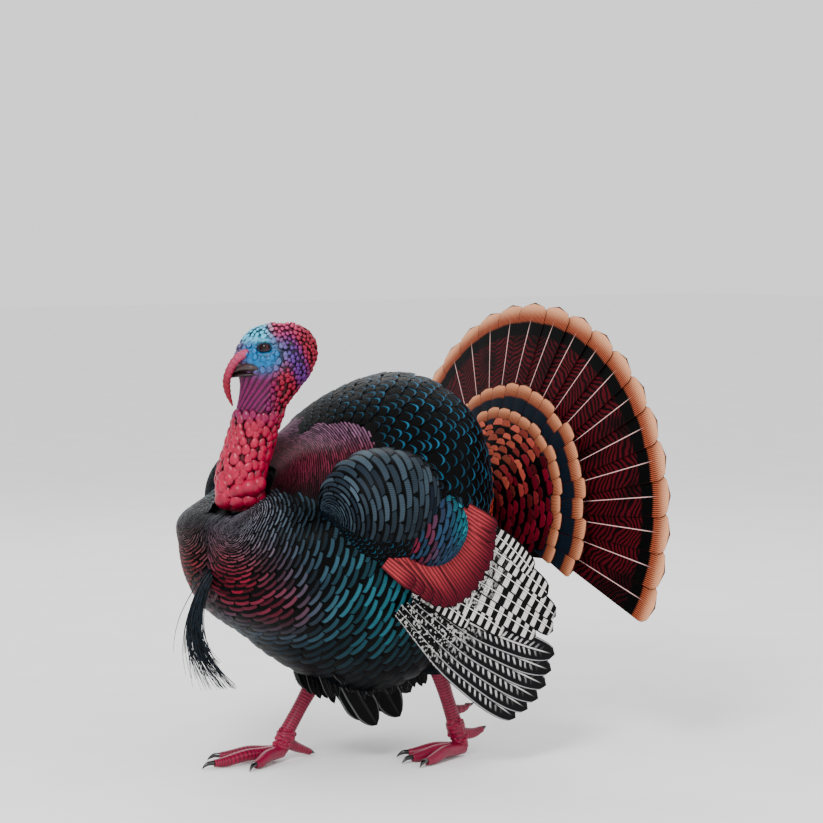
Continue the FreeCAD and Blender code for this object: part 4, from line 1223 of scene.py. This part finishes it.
def add_hind_toe(limb, claws, ankle, knuckle, hind):
    toe = [at(ankle * 0.6 + knuckle * 0.4, 10), at((knuckle + hind) / 2, 8, dz=8), at(hind, 5)]
    add_limb(limb, toe, 11, 60, 14)
    aim = unit(hind - knuckle)
    claw_path = [at(hind - aim * 5, 3.8), at(hind + aim * 4, 3.2), at(hind + aim * 11, 0.4, dz=-2)]
    claws.add(tube(claw_path, 14, 10))


def add_spur(limb, claws, foot, spur):
    base = [at(foot, 9), at((foot + spur) / 2, 6, dx=2, dz=-3), at(foot * 0.2 + spur * 0.8, 3)]
    add_limb(limb, base, 5, 30, 12)
    point = [at(foot * 0.35 + spur * 0.65, 3.8), at(foot * 0.15 + spur * 0.85, 2.6, dx=1, dz=-1),
             at(spur, 0.4)]
    claws.add(tube(point, 14, 10))


def ankle_scales(side, ankle, knuckle, count=46):
    around = rng.uniform(0, 2 * math.pi, count)
    t = rng.uniform(-0.2, 1.0, count)
    centre = ankle + (knuckle - ankle) * t[:, None] * 0.8
    out = unit(np.stack([np.cos(around), np.sin(around), 0.2 * rng.standard_normal(count)], -1))
    axes = vary(np.full((count, 3), 3.8), 0.7, 1.2)
    bumps = Batch()
    bumps.add(blobs(centre + out * 12.6, axes, frames_about(out, np.tile(UP, (count, 1))), 6, 8), SHANK_RED)
    bumps.make(f"ankle_{side}_scales", leg_skin, "body", "leg_scales")


for side, leg in LEGS.items():
    top, ankle, knuckle, hind, spur = (np.array(leg[key], float)
                                       for key in ("top", "ankle", "knuckle", "hind", "spur"))
    limb, claws = Batch(), Batch()
    high = top + unit(top - ankle) * 20
    shank = [at(high, 16), at(top, 14.5), at((top + ankle) / 2, 11), at(ankle, 11.5)]
    joint = [at(ankle, 11, dz=6), at(ankle, 14.5), at((ankle + knuckle) / 2, 13), at(knuckle, 10.5)]
    add_limb(limb, shank, 34, 170, 20)
    add_limb(limb, joint, 8, 50, 18)
    for tip_x, tip_y in leg["toes"]:
        add_toe(limb, claws, knuckle, np.array([tip_x, tip_y, 4.5]))
    add_hind_toe(limb, claws, ankle, knuckle, hind)
    add_spur(limb, claws, ankle + (top - ankle) * 0.22, spur)
    limb.make(f"leg_{side}_skin", leg_skin, "body", "leg_scales", (f"leg_{side}",))
    claws.make(f"claw_{side}_set", claw, "body", "claw_horn", (f"claws_{side}",))
    ankle_scales(side, ankle, knuckle)

# ---- stage

def stage_material(name, colour):
    return simple_material(name, tuple(c * 0.97 for c in colour), colour, 6.0, 0.9, depth=0.00005)


bpy.ops.mesh.primitive_plane_add(size=40, location=(0, 0, -0.001))
floor = bpy.context.object
floor.name = "floor"
floor.data.materials.append(stage_material("studio_floor", (0.95, 0.95, 0.95)))

world = bpy.data.worlds.new("studio")
world.use_nodes = True
world.node_tree.nodes["Background"].inputs[0].default_value = (1, 1, 1, 1)
world.node_tree.nodes["Background"].inputs[1].default_value = 1.25
bpy.context.scene.world = world

target = Vector(((90.6 + SHIFT) * 0.001, 0, 0.536))
azimuth, elevation, distance = math.radians(-38), math.radians(4), 4.2
level = math.cos(elevation)
toward = Vector((math.sin(azimuth) * level, -math.cos(azimuth) * level, math.sin(elevation)))


def area_light(name, offset, size, power):
    data = bpy.data.lights.new(name, "AREA")
    data.size = size
    data.energy = power
    light = bpy.data.objects.new(name, data)
    light.location = target + Vector(offset)
    light.rotation_euler = (-Vector(offset)).to_track_quat("-Z", "Y").to_euler()
    bpy.context.scene.collection.objects.link(light)


area_light("key", (-2.6, -1.9, 2.2), 1.0, 130)
area_light("fill", (0.8, -3.2, 1.0), 2.4, 22)
area_light("back", (1.4, 2.4, 2.0), 1.6, 35)

camera_data = bpy.data.cameras.new("camera")
camera_data.lens = 117.8
camera_data.sensor_width = 36
camera = bpy.data.objects.new("camera", camera_data)
camera.location = target + toward * distance
camera.rotation_euler = (-toward).to_track_quat("-Z", "Y").to_euler()
bpy.context.scene.collection.objects.link(camera)
bpy.context.scene.camera = camera
